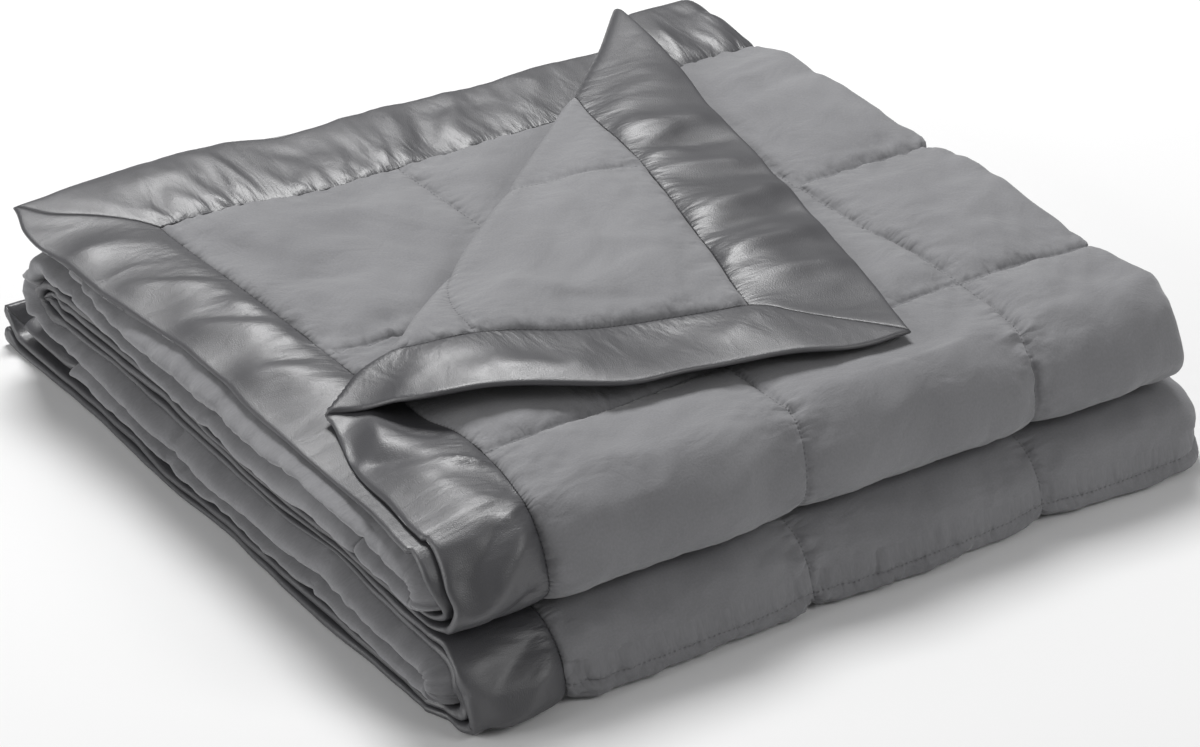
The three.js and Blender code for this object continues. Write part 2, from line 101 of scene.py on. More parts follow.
def noise(across: Number, along: Number, seed: int = 0) -> Array:
    """Smooth noise of two parameters, about -0.7 to 0.7.

    Every whole pair of numbers has a slope in a scattered direction, and the four slopes
    round a point are blended by a soft step: six fifth powers, less fifteen fourth ones,
    plus ten cubes.

    Args:
        across: First parameter, one wave for each whole number.
        along: Second parameter, of the same shape.
        seed: Picks another set of slopes.

    Returns:
        The noise at each point.
    """
    across, along = np.broadcast_arrays(np.asarray(across, float), np.asarray(along, float))
    column, row = np.floor(across), np.floor(along)
    part_x, part_y = across - column, along - row

    def slope(step_x: int, step_y: int) -> Array:
        """Height that the slope at one whole pair gives.

        Args:
            step_x: Column of the pair, from this one.
            step_y: Row of the pair, from this one.

        Returns:
            The heights.
        """
        mixed = (column + step_x) * SCATTER[0] + (row + step_y) * SCATTER[1] + seed * SCATTER[2]
        turn = np.sin(mixed) * SCATTER[3]
        turn = (turn - np.floor(turn)) * 2.0 * np.pi
        return np.cos(turn) * (part_x - step_x) + np.sin(turn) * (part_y - step_y)

    soft_x = part_x ** 3 * (part_x * (part_x * 6 - 15) + 10)
    soft_y = part_y ** 3 * (part_y * (part_y * 6 - 15) + 10)
    near = mix(slope(0, 0), slope(1, 0), soft_x)
    far = mix(slope(0, 1), slope(1, 1), soft_x)
    return mix(near, far, soft_y)


def swell(across: Number, along: Number, seed: int = 0) -> Array:
    """Smooth noise, about -1 to 1."""
    return 1.6 * noise(across, along, seed)


def crests(across: Number, along: Number, seed: int = 0) -> Array:
    """Noise with narrow crests and round valleys, as in gathered satin, about -0.7 to 0.3."""
    return 0.4 - np.sqrt((1.5 * swell(across, along, seed)) ** 2 + 0.015)


@dataclass(frozen=True)
class Wave:
    """Uneven waves: their size, their length along two directions, and the noise's seed."""

    size: float
    across: float
    along: float
    seed: int
    crested: bool = False

    def at(self, across: Number, along: Number) -> Array:
        """Height of the waves at some places."""
        form = crests if self.crested else swell
        return self.size * form(across / self.across, along / self.along, self.seed)


@dataclass(frozen=True)
class Window:
    """A range of one measure, which eases in over its rise and out over its fall."""

    rise: tuple[float, float] | None = None
    fall: tuple[float, float] | None = None

    def at(self, value: Array) -> Number:
        """One inside the range and nought outside."""
        risen = ease(value, *self.rise) if self.rise else 1.0
        return risen * (1.0 - ease(value, *self.fall)) if self.fall else risen


class Face(Enum):
    """The two faces of the blanket as it is cut."""

    OUTER = 1
    INNER = -1


@dataclass(frozen=True)
class Blanket:
    """Flat sizes of the blanket, in millimetres."""

    boxes: int = 12
    box: float = 178.67
    border: float = 71.0
    seam_gap: float = 0.3
    middle_slip: float = 26.0
    middle_slip_over: float = 60.0

    @property
    def side(self) -> float:
        """Length of each side."""
        return self.boxes * self.box + 2.0 * self.border

    def to_seam(self, flat: Array) -> Array:
        """Distance from a flat coordinate to its nearest quilting seam.

        The seam in the middle of the blanket has slipped off the left fold, down out of sight.

        Args:
            flat: Either flat coordinate.

        Returns:
            The distances.
        """
        from_middle = (flat - self.side / 2.0) / self.middle_slip_over
        slipped = flat + self.middle_slip * np.exp(-(from_middle ** 2))
        along = (slipped - self.border) / self.box
        return np.abs(along - np.round(along)) * self.box


@dataclass(frozen=True)
class Reading:
    """A size that changes with the distance from the front, read from a few stations.

    Straight lines between the stations are rounded by a bell-shaped running average.
    """

    stations: tuple[float, ...]
    values: tuple[float, ...]
    softness: float = 24.0

    def at(self, distance: Array) -> Array:
        """The size at each distance.

        Args:
            distance: Distances from the front.

        Returns:
            The size at each.
        """
        line = np.arange(*SIDE_LINE)
        step = SIDE_LINE[2]
        reach = np.arange(-3.0 * self.softness, 3.0 * self.softness + step, step)
        weight = np.exp(-0.5 * (reach / self.softness) ** 2)
        rough = np.interp(line, self.stations, self.values)
        padded = np.pad(rough, len(reach) // 2, mode="edge")
        smooth = np.convolve(padded, weight / weight.sum(), mode="valid")[: len(line)]
        return np.interp(distance, line, smooth)


@dataclass(frozen=True)
class LeftBands:
    """Heights of the bands that show along the left side at some distances from the front."""

    stations: tuple[float, ...] = (161, 250, 340)
    bottom_hems: tuple[float, ...] = (14, 13, 12)
    roll_d: tuple[float, ...] = (13, 12, 11)
    roll_c: tuple[float, ...] = (21, 21, 22)
    hems_c: tuple[float, ...] = (8, 12, 16)
    hems_b: tuple[float, ...] = (13, 9, 12)
    roll_b: tuple[float, ...] = (27, 22, 13)
    roll_a: tuple[float, ...] = (9, 20, 23)
    hem_2: tuple[float, ...] = (6.5, 6, 5.5)
    hem_1: tuple[float, ...] = (7, 7, 7)

    def pitches(self, u: Array) -> list[Array]:
        """Pitch of each of the sixteen layers from the floor up: two to a band, then two hems.

        Args:
            u: Distance from the front.

        Returns:
            The sixteen pitches.
        """
        lower = (self.bottom_hems, self.roll_d, self.roll_c, self.hems_c)
        upper = (self.hems_b, self.roll_b, self.roll_a)
        layers = [Reading(self.stations, band).at(u) / 2.0 for band in lower + upper for _ in range(2)]
        return layers + [Reading(self.stations, band).at(u) for band in (self.hem_2, self.hem_1)]


@dataclass(frozen=True)
class MiddlePanels:
    """Height of each folded panel in the middle of the stack at some distances from the front."""

    stations: tuple[float, ...] = (72, 161, 340, 474)
    fourth: tuple[float, ...] = (26, 28, 29, 29)
    third: tuple[float, ...] = (26, 28, 29, 29)
    second: tuple[float, ...] = (26, 28, 28, 28)
    first: tuple[float, ...] = (31, 26, 23, 22)
    top_pitch: float = 8.4

    def pitches(self, u: Array) -> list[Array]:
        """Pitch of each of the sixteen layers from the floor up, with the top one on its own.

        Args:
            u: Distance from the front.

        Returns:
            The sixteen pitches.
        """
        layers = []
        for panel, count in ((self.fourth, 4), (self.third, 4), (self.second, 4), (self.first, 3)):
            layers += [Reading(self.stations, panel).at(u) / count] * count
        return layers + [np.full_like(u, self.top_pitch)]


@dataclass(frozen=True)
class HemReaches:
    """How far each free left hem stands out past x = 0 at some distances from the front."""

    stations: tuple[float, ...] = (72, 161, 250, 340, 429, 520)
    top: tuple[float, ...] = (-2, -7, -2, 4, 6, 8)
    second: tuple[float, ...] = (-1, 5, 2, -7, 3, 4)
    middle: tuple[float, ...] = (-4, -7, -2, -6, -3, 3)
    bottom: tuple[float, ...] = (2, 6, 3, 7, 5, 9)
    wave: Wave = Wave(1.5, 61.0, 1.0, 3)
    ripple: Wave = Wave(0.5, 23.0, 1.0, 4)

    def at(self, reaches: tuple[float, ...], u: Array) -> Array:
        """Reach of one hem, from its values at the stations."""
        return Reading(self.stations, reaches).at(u)

    def uneven(self, t: Array, on_top: Array) -> Array:
        """Small waves of a hem along t, from rows of the noise of its own."""
        return self.wave.at(t, np.where(on_top, 0.5, 7.5)) + self.ripple.at(t, 2.5)


@dataclass(frozen=True)
class Slip:
    """How far the cloth near one place lies from an even fold, in millimetres.

    The place is given across the stack and along the hem, then how far it is moved along
    both and how far it is lifted, and over what reach.
    """

    across: float
    along: float
    moved_across: float = 0.0
    moved_along: float = 0.0
    lifted: float = 0.0
    reach: float = 34.0


def blend_slips(slips: tuple[Slip, ...], across: Array, along: Array) -> Array:
    """Blend slips by a bell round each place.

    Args:
        slips: The places and their slips.
        across: Distance across the stack of each point.
        along: Distance along the hem of each point.

    Returns:
        Three rows: how far each point is moved across, moved along and lifted.
    """
    total = np.full(across.shape, EVEN_WEIGHT)
    moved = np.zeros((3, *across.shape))
    for slip in slips:
        squared = (across - slip.across) ** 2 + (along - slip.along) ** 2
        weight = np.exp(-0.5 * squared / slip.reach ** 2)
        total += weight
        for row, size in zip(moved, (slip.moved_across, slip.moved_along, slip.lifted)):
            row += weight * size
    return moved / total


TOP_SLIPS = (
    Slip(428, 250, 13, 20, reach=55),
    Slip(536, 250, 0, 25, reach=55),
    Slip(71, 428, 15, 16, reach=40),
    Slip(200, 428, 8, 18, reach=55),
    Slip(300, 428, 10, 12, reach=55),
    Slip(380, 428, 16, 8, reach=55),
    Slip(440, 428, 25, 7, reach=40),
    Slip(540, 428, 0, 16, reach=55),
    Slip(428, 120, 8, 6, reach=55),
    Slip(250, 480, 17, -2, reach=55),
    Slip(428, 530, 9, -4, reach=55),
    Slip(71, 540, 0, -3, reach=55),
    Slip(0, 330, 31, reach=22),
    Slip(0, 352, 29, reach=16),
    Slip(0, 378, 17, reach=16),
    Slip(0, 402, 10, reach=18),
    Slip(0, 440, 7, reach=26),
    Slip(0, 485, 6, reach=30),
    Slip(0, 550, 3),
    Slip(71, 71, -7, 25, reach=32),
    Slip(71, 160, -2, 24),
    Slip(71, 250, 5, 25),
    Slip(160, 71, 0, 18),
    Slip(250, 71, 9, 14),
    Slip(340, 71, 4, 17),
    Slip(250, 150, 15, 6),
    Slip(0, 0, 8, reach=22),
    Slip(0, 40, -8, reach=24),
    Slip(0, 90, 2, 3, reach=28),
    Slip(0, 130, 0, 8, reach=28),
    Slip(0, 200, -6, 8, reach=30),
    Slip(0, 290, -8, 4, reach=30),
    Slip(80, 0, 0, -1),
    Slip(180, 0, 0, -3),
    Slip(280, 0, 0, -5),
    Slip(380, 0, 0, -8),
    Slip(470, 0, 0, -10),
)

SECOND_SLIPS = (
    Slip(0, 0, 3, -6, reach=14),
    Slip(0, 34, -10, reach=18),
    Slip(71, 71, -4, -7),
    Slip(110, 0, 0, -12, reach=40),
    Slip(250, 0, 0, 2, reach=40),
    Slip(360, 0, 0, 10, reach=40),
    Slip(470, 0, 0, 15, reach=40),
    Slip(250, 71, -9, 11, reach=40),
    Slip(350, 71, -4, 11, reach=40),
    Slip(428, 71, 0, 11, reach=40),
    Slip(71, 250, 0, 37, reach=55),
    Slip(160, 250, 0, 43, reach=55),
    Slip(250, 250, 0, 36, reach=55),
    Slip(250, 150, -8, 20, reach=55),
    Slip(71, 160, -3, 16, reach=55),
    Slip(0, 120, -6),
    Slip(0, 200, -2, reach=30),
    Slip(0, 262, 8, reach=30),
    Slip(0, 330, 9),
    Slip(0, 395, 9),
    Slip(0, 450, 2, reach=30),
    Slip(0, 505, -8),
)


@dataclass(frozen=True)
class TurnedCorner:
    """The top corner that is turned back over a slanting fold line.

    The fold line cuts given lengths off the two hems. Its radius changes along it: pinched
    at the left hem's end, open beside that and pressed further on. Past the bend the cloth
    lies back over the stack and settles on it, with its lower edge held up.
    """

    along_s: float = 508.0
    along_t: float = 392.0
    stations: tuple[float, ...] = (45, 64, 84, 98, 114, 145, 220, 420, 560, 640)
    radii: tuple[float, ...] = (1.5, 2.5, 5, 8, 10, 10, 7, 5.5, 7, 8)
    bows: tuple[float, ...] = (-19, -12, -5, 6, 18, 15, 9, 1, -5, -16)
    softness: float = 8.0
    settled: float = 10.0
    settled_over: float = 150.0
    blended_over: float = 90.0
    lifted_over: float = 40.0
    covers: Window = Window(rise=(-18.0, 22.0))
    lifts: tuple[Slip, ...] = (
        Slip(0, 350, reach=14),
        Slip(0, 328, lifted=6, reach=18),
        Slip(0, 300, lifted=12, reach=22),
        Slip(0, 265, lifted=16, reach=24),
        Slip(0, 228, lifted=10, reach=24),
        Slip(0, 165, lifted=10, reach=30),
        Slip(0, 112, lifted=5, reach=24),
        Slip(0, 80, lifted=9, reach=24),
        Slip(0, 20, lifted=4),
        Slip(42, 318, lifted=7, reach=18),
        Slip(66, 296, lifted=8, reach=22),
        Slip(66, 258, lifted=3, reach=22),
        Slip(71, 222, lifted=3, reach=26),
        Slip(71, 160),
        Slip(71, 95, lifted=2, reach=28),
        Slip(80, 0, lifted=-2, reach=36),
        Slip(180, 0, lifted=-2, reach=36),
        Slip(280, 0, lifted=-1, reach=36),
        Slip(90, 78, lifted=5),
        Slip(170, 74, lifted=5),
        Slip(250, 74, lifted=5),
        Slip(330, 74, lifted=3),
        Slip(120, 180, lifted=2, reach=50),
    )

    @property
    def slope(self) -> float:
        """Length of the fold line's gradient."""
        return math.hypot(1.0 / self.along_s, 1.0 / self.along_t)

    @property
    def normal(self) -> tuple[float, float]:
        """Unit normal of the fold line in plan, towards the corner."""
        return -1.0 / (self.along_s * self.slope), 1.0 / (self.along_t * self.slope)

    @property
    def length(self) -> float:
        """Length of the fold line between the two hems."""
        return math.hypot(self.along_s, self.along_t)

    @property
    def bend(self) -> float:
        """Greatest length of cloth in the bend."""
        return math.pi * max(self.radii)

    def along_fold(self, s: Array, t: Array) -> Array:
        """Distance of a flat point along the fold line, from the left hem's end."""
        return (s * self.along_s + (self.along_t - t) * self.along_t) / self.length

    def past(self, s: Array, t: Array) -> Array:
        """Signed distance of a flat point past the fold line, towards the corner."""
        bow = Reading(self.stations, self.bows, self.softness).at(self.along_fold(s, t))
        return (1.0 - s / self.along_s - t / self.along_t) / self.slope + bow

    def radius(self, s: Array, t: Array) -> Array:
        """Radius of the bend beside a flat point."""
        return Reading(self.stations, self.radii, self.softness).at(self.along_fold(s, t))

    def cover(self, s: Array, t: Array) -> Array:
        """How far a flat point of the top layer lies under the turned corner, from 0 to 1.

        Args:
            s: Flat place across.
            t: Flat place along.

        Returns:
            The share covered.
        """
        past = self.past(s, t)
        mirrored_s = s + 2.0 * past / (self.along_s * self.slope)
        mirrored_t = t + 2.0 * past / (self.along_t * self.slope)
        return np.where(past < 0.0, self.covers.at(np.minimum(mirrored_s, mirrored_t)), 0.0)


@dataclass(frozen=True)
class Crumple:
    """A loose end of some folds, crumpled by uneven waves.

    The windows say where it lies along x, along u and up the stack. Each wave moves the
    cloth one way, by a noise of two of the coordinates. The wrinkles move it along u too,
    and they lean by their slant.
    """

    x: Window
    u: Window
    height: Window
    moved_x: Wave
    moved_u: Wave
    moved_up: Wave = Wave(0.0, 1.0, 1.0, 0)
    wrinkles: Wave = Wave(0.0, 1.0, 1.0, 0)
    slant: float = 0.0

    def at(self, x: Array, u: Array, height: Array) -> Array:
        """How far each point is moved along x, along u and up.

        Args:
            x: Distance from the left hems.
            u: Distance from the front.
            height: Height above the floor.

        Returns:
            Rows of the three moves.
        """
        share = self.x.at(x) * self.u.at(u) * self.height.at(height)
        along_u = self.moved_u.at(height, x) + self.wrinkles.at(height + self.slant * x, x)
        moved = [self.moved_x.at(u, height), along_u, self.moved_up.at(u, height)]
        return share[..., None] * np.stack(moved, axis=-1)


@dataclass(frozen=True)
class LooseEnds:
    """How the loose ends of the folds depart from an even folding, in millimetres.

    The left ends of the front and back folds are crumpled, and the roll's back end is tucked
    in under the layer above. The lowest tips reach out at the back and curl up. The top is
    dented beside the turned corner, less and less further down.
    """

    back: Crumple = Crumple(
        x=Window(fall=(6.0, 64.0)),
        u=Window(rise=(470.0, 520.0)),
        height=Window((14.0, 34.0), (84.0, 100.0)),
        moved_x=Wave(4.0, 16.0, 15.0, 63),
        moved_u=Wave(4.8, 18.0, 26.0, 61),
        moved_up=Wave(5.0, 20.0, 24.0, 62),
        wrinkles=Wave(2.2, 8.0, 14.0, 64, crested=True),
        slant=8.0 / 18.0,
    )
    front: Crumple = Crumple(
        x=Window(fall=(2.0, 58.0)),
        u=Window(fall=(12.0, 64.0)),
        height=Window(fall=(108.0, 124.0)),
        moved_x=Wave(3.0, 19.0, 17.0, 65),
        moved_u=Wave(2.4, 17.0, 19.0, 66),
    )
    tuck: float = 13.0
    tuck_along: Window = Window(fall=(15.0, 110.0))
    tuck_beside: Window = Window(fall=(12.0, 90.0))
    tip_reach: float = 20.0
    tip_curl: float = 1.5
    tip_x: Window = Window(fall=(4.0, 84.0))
    tip_u: Window = Window(rise=(488.0, 546.0))
    tip_height: Window = Window(fall=(12.0, 17.0))
    curl_u: Window = Window(rise=(547.0, 566.0))
    dent: float = 9.0
    dent_place: tuple[float, float] = (86.0, 172.0)
    dent_radii: tuple[float, float] = (32.0, 28.0)
    dent_heights: tuple[float, float] = (60.0, 112.0)


@dataclass(frozen=True)
class Stack:
    """The folded stack and the map that carries the flat blanket into it."""

    blanket: Blanket = Blanket()
    left_bands: LeftBands = LeftBands()
    panels: MiddlePanels = MiddlePanels()
    hems: HemReaches = HemReaches()
    corner: TurnedCorner = TurnedCorner()
    ends: LooseEnds = LooseEnds()
    left_roll_x: float = 10.0
    right_fold_x: float = 536.0
    upper_front_u: float = 50.0
    lower_front_u: float = 36.0
    back_fold_u: float = 508.0
    back_hem_u: float = 545.0
    upper_right_reach: float = 9.5
    lower_right_reach: float = 14.0
    roll_reach: float = 17.0
    roll_point: float = 1.6
    front_reach: float = 9.6
    back_reach: float = 9.2
    round_shape: float = 2.0
    pressed_shape: float = 5.0
    front_lean: float = 0.22
    packet: int = 4
    pressed_flat: float = 0.5
    back_hem_rise: float = 1.9
    left_drop: float = 0.09
    left_drop_x: Window = Window(fall=(0.0, 60.0))
    edge_x: float = 24.0
    halfway_x: float = 71.0
    inner_x: float = 134.0
    wander: tuple[Wave, ...] = (Wave(2.2, 92.0, 4.5, 11), Wave(0.8, 34.0, 3.5, 12))
    wander_x: Window = Window(fall=(8.0, 60.0))
    loose_layers: float = 2.5
    top_calm: float = 0.4
    second_slip_over: float = 60.0

    @property
    def layers(self) -> int:
        """Number of layers in the stack: four packets of four."""
        return 4 * self.packet

    @property
    def s_ends(self) -> tuple[float, ...]:
        """Ends in s of the top layer, right turn, fourth layer, roll, third layer and inner turn.

        Returns:
            The six ends.
        """
        run = self.right_fold_x - self.left_roll_x
        side_turn = 2.0 * (self.blanket.side / 4.0 - self.right_fold_x)
        fourth_start = self.right_fold_x + side_turn
        fourth_end = fourth_start + run
        third_start = fourth_end + 2.0 * self.left_roll_x
        third_end = third_start + run
        second_start = self.blanket.side - self.right_fold_x
        return self.right_fold_x, fourth_start, fourth_end, third_start, third_end, second_start

    @property
    def panel_turn(self) -> float:
        """Length of cloth in each turn between two panels.

        Returns:
            The length.
        """
        hem_runs = 2.0 * self.back_hem_u - self.upper_front_u - self.lower_front_u
        inner_runs = 2.0 * self.back_fold_u - self.upper_front_u - self.lower_front_u
        return (self.blanket.side - hem_runs - inner_runs) / 3.0

    @property
    def t_ends(self) -> tuple[float, ...]:
        """Ends in t of the first panel, front turn, second panel, back turn, third panel and lower turn.

        Returns:
            The six ends.
        """
        turn = self.panel_turn
        first = self.back_hem_u - self.upper_front_u
        second = first + turn + self.back_fold_u - self.upper_front_u
        third = second + turn + self.back_fold_u - self.lower_front_u
        return first, first + turn, second, second + turn, third, third + turn

    @property
    def seams_u(self) -> tuple[float, ...]:
        """Distances from the front of the seams that cross the stack."""
        start = self.back_hem_u - self.blanket.border
        return start, start - self.blanket.box, start - 2.0 * self.blanket.box

    def across_packet(self, s: Array, out: Array, reach: Array) -> tuple[Array, Array]:
        """Where s lies in the packet of four layers.

        The layers are straight runs in the middle of each layer's height, at a half, one and
        a half and so on. The turns between them are half circles about the height where the
        two layers meet, stretched sideways by a reach for each layer of radius.

        Args:
            s: Flat coordinate.
            out: Offset from the middle of the cloth towards its outer face, in layers.
            reach: How far the right folds stand out for each layer.

        Returns:
            x in millimetres, and the height in layers from the packet's bottom.
        """
        top, fourth_0, fourth_1, third_0, third_1, second_0 = self.s_ends
        outer = np.pi * (0.5 - ramp(s, top, fourth_0))
        roll = np.pi * (ramp(s, fourth_1, third_0) - 0.5)
        inner = np.pi * (ramp(s, third_1, second_0) - 0.5)
        roll_out = np.abs(np.cos(roll)) ** self.roll_point
        where = [s <= top, s < fourth_0, s <= fourth_1, s < third_0, s <= third_1, s < second_0]
        x = np.select(where, [
            s,
            self.right_fold_x + reach * (1.5 + out) * np.cos(outer),
            self.right_fold_x - (s - fourth_0),
            self.left_roll_x - self.roll_reach * (0.5 + out) * roll_out,
            self.left_roll_x + (s - third_0),
            self.right_fold_x + reach * (0.5 - out) * np.cos(inner),
        ], self.blanket.side - s)
        height = np.select(where, [
            3.5 + out,
            2.0 + (1.5 + out) * np.sin(outer),
            0.5 - out,
            1.0 + (0.5 + out) * np.sin(roll),
            1.5 + out,
            2.0 + (0.5 - out) * np.sin(inner),
        ], 2.5 - out)
        return x, height

    def fold_section(self, angle: Array, shape: Number, lean: float) -> tuple[Array, Array]:
        """Section of a fold at an angle from its top, for a radius of one.

        The rise is the cosine and the reach the sine, each raised to two over the shape, and
        the reach leans out towards the fold's foot.

        Args:
            angle: Angle from the top, up to half a turn.
            shape: Two for round, more for square.
            lean: Share of the lean.

        Returns:
            The reach and the rise.
        """
        cosine, sine = np.cos(angle), np.clip(np.sin(angle), 0.0, 1.0)
        rise = np.abs(cosine) ** (2.0 / shape) * np.sign(cosine)
        return sine ** (2.0 / shape) * (1.0 - lean * rise), rise

    def along_stack(self, t: Array, height: Array) -> tuple[Array, Array]:
        """Where t carries a point of the packet.

        Args:
            t: Flat coordinate.
            height: Height in the packet, in layers.

        Returns:
            u in millimetres, and the height in layers from the floor.
        """
        first, second_0, second_1, third_0, third_1, fourth_0 = self.t_ends
        four = float(self.packet)
        upper_angle, back_angle = np.pi * ramp(t, first, second_0), np.pi * ramp(t, second_1, third_0)
        front, front_rise = self.fold_section(upper_angle, self.round_shape, self.front_lean)
        back, back_rise = self.fold_section(back_angle, self.round_shape, 0.0)
        angle = np.pi * ramp(t, third_1, fourth_0)
        shape = np.where(angle > np.pi / 2.0, self.pressed_shape, self.round_shape)
        lower, lower_rise = self.fold_section(angle, shape, self.front_lean)
        where = [t <= first, t < second_0, t <= second_1, t < third_0, t <= third_1, t < fourth_0]
        u = np.select(where, [
            self.back_hem_u - t,
            self.upper_front_u - self.front_reach * height * front,
            self.upper_front_u + t - second_0,
            self.back_fold_u + self.back_reach * (four - height) * back,
            self.back_fold_u - (t - third_0),
            self.lower_front_u - self.front_reach * height * lower,
        ], self.lower_front_u + t - fourth_0)
        level = np.select(where, [
            3 * four + height,
            3 * four + height * front_rise,
            3 * four - height,
            2 * four + (four - height) * back_rise,
            four + height,
            four + height * lower_rise,
        ], four - height)
        return u, level

    def height_of(self, level: Array, x: Array, u: Array) -> Array:
        """Height in millimetres of a level counted in layers.

        It sums the pitches of the layers below. Near the left side they blend from those of
        the stack's middle to those of its bands, and the edges there wander up and down.

        Args:
            level: Height counted in layers.
            x: Distance from the left hems.
            u: Distance from the front.

        Returns:
            The heights.
        """
        back, _, front = self.seams_u
        first, last = self.left_bands.stations[0], self.left_bands.stations[-1]
        from_ends = ease(u, front - self.blanket.box / 4.0, first), ease(u, back, last)
        along_side = np.minimum(*from_ends)
        to_halfway, to_inner = ease(x, self.edge_x, self.halfway_x), ease(x, self.halfway_x, self.inner_x)
        share = along_side * (1.0 - 0.5 * to_halfway - 0.5 * to_inner)
        rise = self.back_hem_rise * ramp(u, back, self.back_hem_u)
        height = np.zeros(level.shape)
        pitches = zip(self.panels.pitches(u), self.left_bands.pitches(u))
        for layer, (middle, side) in enumerate(pitches):
            top = np.inf if layer == self.layers - 1 else 1.0
            extra = rise if layer >= 3 * self.packet else 0.0
            height += (mix(middle, side, share) + extra) * np.clip(level - layer, 0.0, top)
        height *= 1.0 - self.left_drop * along_side * self.left_drop_x.at(x)
        calm = 1.0 - self.top_calm * ramp(level, self.layers - 2.0, self.layers)
        loose = self.wander_x.at(x) * ramp(level, 0.0, self.loose_layers) * calm
        height += loose * sum(wave.at(u, level) for wave in self.wander)
        return np.maximum(height - self.pressed_flat, 0.0)

    def hem_reach(self, s: Array, t: Array, u: Array) -> Array:
        """How far a point is carried left by its free hem, which dies away at the border's seam.

        Args:
            s: Flat place across.
            t: Flat place along.
            u: Distance from the front.

        Returns:
            Change of x, in millimetres.
        """
        side, hems = self.blanket.side, self.hems
        first, _, _, _, _, fourth_0 = self.t_ends
        on_top = s < side / 2.0
        upper = np.where(on_top, hems.at(hems.top, u), hems.at(hems.second, u))
        lower = np.where(t >= fourth_0, hems.at(hems.bottom, u), hems.at(hems.middle, u))
        reach = np.where(t <= first, upper, lower) + hems.uneven(t, on_top)
        from_hem = np.minimum(s, side - s)
        return -reach * (1.0 - ease(from_hem, 0.0, self.blanket.border))

    def place(self, s: Array, t: Array, out: Array) -> Array:
        """Place of flat points in the stack.

        Args:
            s: Flat place across.
            t: Flat place along.
            out: Offset towards the outer face, in layers.

        Returns:
            Rows of x, u and height, in millimetres.
        """
        first, _, second_1, third_0, _, _ = self.t_ends
        reach = mix(self.upper_right_reach, self.lower_right_reach, ramp(t, second_1, third_0))
        moved_s, moved_t = self.slipped(s, t)
        x, packet_height = self.across_packet(moved_s, out, reach)
        u, level = self.along_stack(moved_t, packet_height)
        x = x + self.hem_reach(s, t, u) + self.tucked(s, t)
        lying = self.crumpled(np.stack([x, u, self.height_of(level, x, u)], axis=-1), t)
        on_top = (s <= self.s_ends[0]) & (t <= first)
        past = np.where(on_top, self.corner.past(moved_s, moved_t), -1.0)
        turned = self.turn_back((s, t), (moved_s, moved_t), (x, u), out, np.maximum(past, 0.0))
        return np.where((past > 0.0)[..., None], turned, lying)

    def tucked(self, s: Array, t: Array) -> Array:
        """How far the back end of the upper roll is pushed in, out of sight under the layer above.

        Args:
            s: Flat place across.
            t: Flat place along.

        Returns:
            Change of x, in millimetres.
        """
        _, _, roll_start, roll_end, _, _ = self.s_ends
        from_roll = np.abs(s - (roll_start + roll_end) / 2.0)
        return self.ends.tuck * self.ends.tuck_along.at(t) * self.ends.tuck_beside.at(from_roll)

    def crumpled(self, lying: Array, t: Array) -> Array:
        """Crumple the left ends of the folds, curl up the lowest tips and dent the top.

        Args:
            lying: Rows of x, u and height.
            t: Flat coordinate along, which tells the lowest panel.

        Returns:
            The rows after all three.
        """
        ends = self.ends
        x, u, height = lying[..., 0], lying[..., 1], lying[..., 2]
        moved = lying + ends.back.at(x, u, height) + ends.front.at(x, u, height)
        lowest = (t >= self.t_ends[5]) * ends.tip_height.at(height)
        tip = lowest * ends.tip_u.at(u) * ends.tip_x.at(x)
        moved[..., 1] += ends.tip_reach * tip
        moved[..., 2] += ends.tip_curl * height * ends.curl_u.at(moved[..., 1]) * tip
        from_x = (x - ends.dent_place[0]) / ends.dent_radii[0]
        from_u = (u - ends.dent_place[1]) / ends.dent_radii[1]
        moved[..., 2] -= ends.dent * np.exp(-(from_x ** 2) - from_u ** 2) * ramp(height, *ends.dent_heights)
        return moved

    def slipped(self, s: Array, t: Array) -> tuple[Array, Array]:
        """Flat coordinates after the two upper layers have slipped from an even fold.

        Args:
            s: Flat place across.
            t: Flat place along.

        Returns:
            Both coordinates after the slip.
        """
        side = self.blanket.side
        top, fourth_0, _, _, _, second_0 = self.s_ends
        first, front_end = self.t_ends[:2]
        along_front = 1.0 - ease(t, first, front_end)
        on_top = along_front * (1.0 - ease(s, top, fourth_0))
        on_second = along_front * ease(s, second_0, second_0 + self.second_slip_over)
        top_across, top_along, _ = blend_slips(TOP_SLIPS, s, t)
        second_across, second_along, _ = blend_slips(SECOND_SLIPS, side - s, t)
        moved_s = s + on_top * top_across - on_second * second_across
        moved_t = t + on_top * top_along + on_second * second_along
        return moved_s, moved_t

    def turn_back(
        self,
        flat: tuple[Array, Array],
        moved: tuple[Array, Array],
        plan: tuple[Array, Array],
        out: Array,
        past: Array,
    ) -> Array:
        """Carry points past the fold line round its bend and back over the stack.

        Args:
            flat: Flat coordinates s and t.
            moved: The same after the layer has slipped.
            plan: x and u of the points before the corner is turned.
            out: Offset towards the outer face, in layers.
            past: Distance past the fold line.

        Returns:
            Rows of x, u and height, in millimetres.
        """
        corner = self.corner
        x, u = plan
        radius = corner.radius(*moved)
        offset = out * self.panels.top_pitch
        angle = np.minimum(past / radius, np.pi)
        beyond = past - angle * radius
        shift = (radius - offset) * np.sin(angle) - beyond - past
        across, along = corner.normal
        new_x, new_u = x + across * shift, u + along * shift
        middle = np.full(x.shape, self.layers - 0.5)
        before, after = self.height_of(middle, x, u), self.height_of(middle, new_x, new_u)
        base = mix(before, after, ease(beyond, 0.0, corner.blended_over))
        settled = (corner.settled - 2.0 * radius) * ease(beyond, 0.0, corner.settled_over)
        lifted = blend_slips(corner.lifts, *flat)[2] * ease(beyond, 0.0, corner.lifted_over)
        height = base + radius - (radius - offset) * np.cos(angle) + settled + lifted
        return np.stack([new_x, new_u, height], axis=-1)


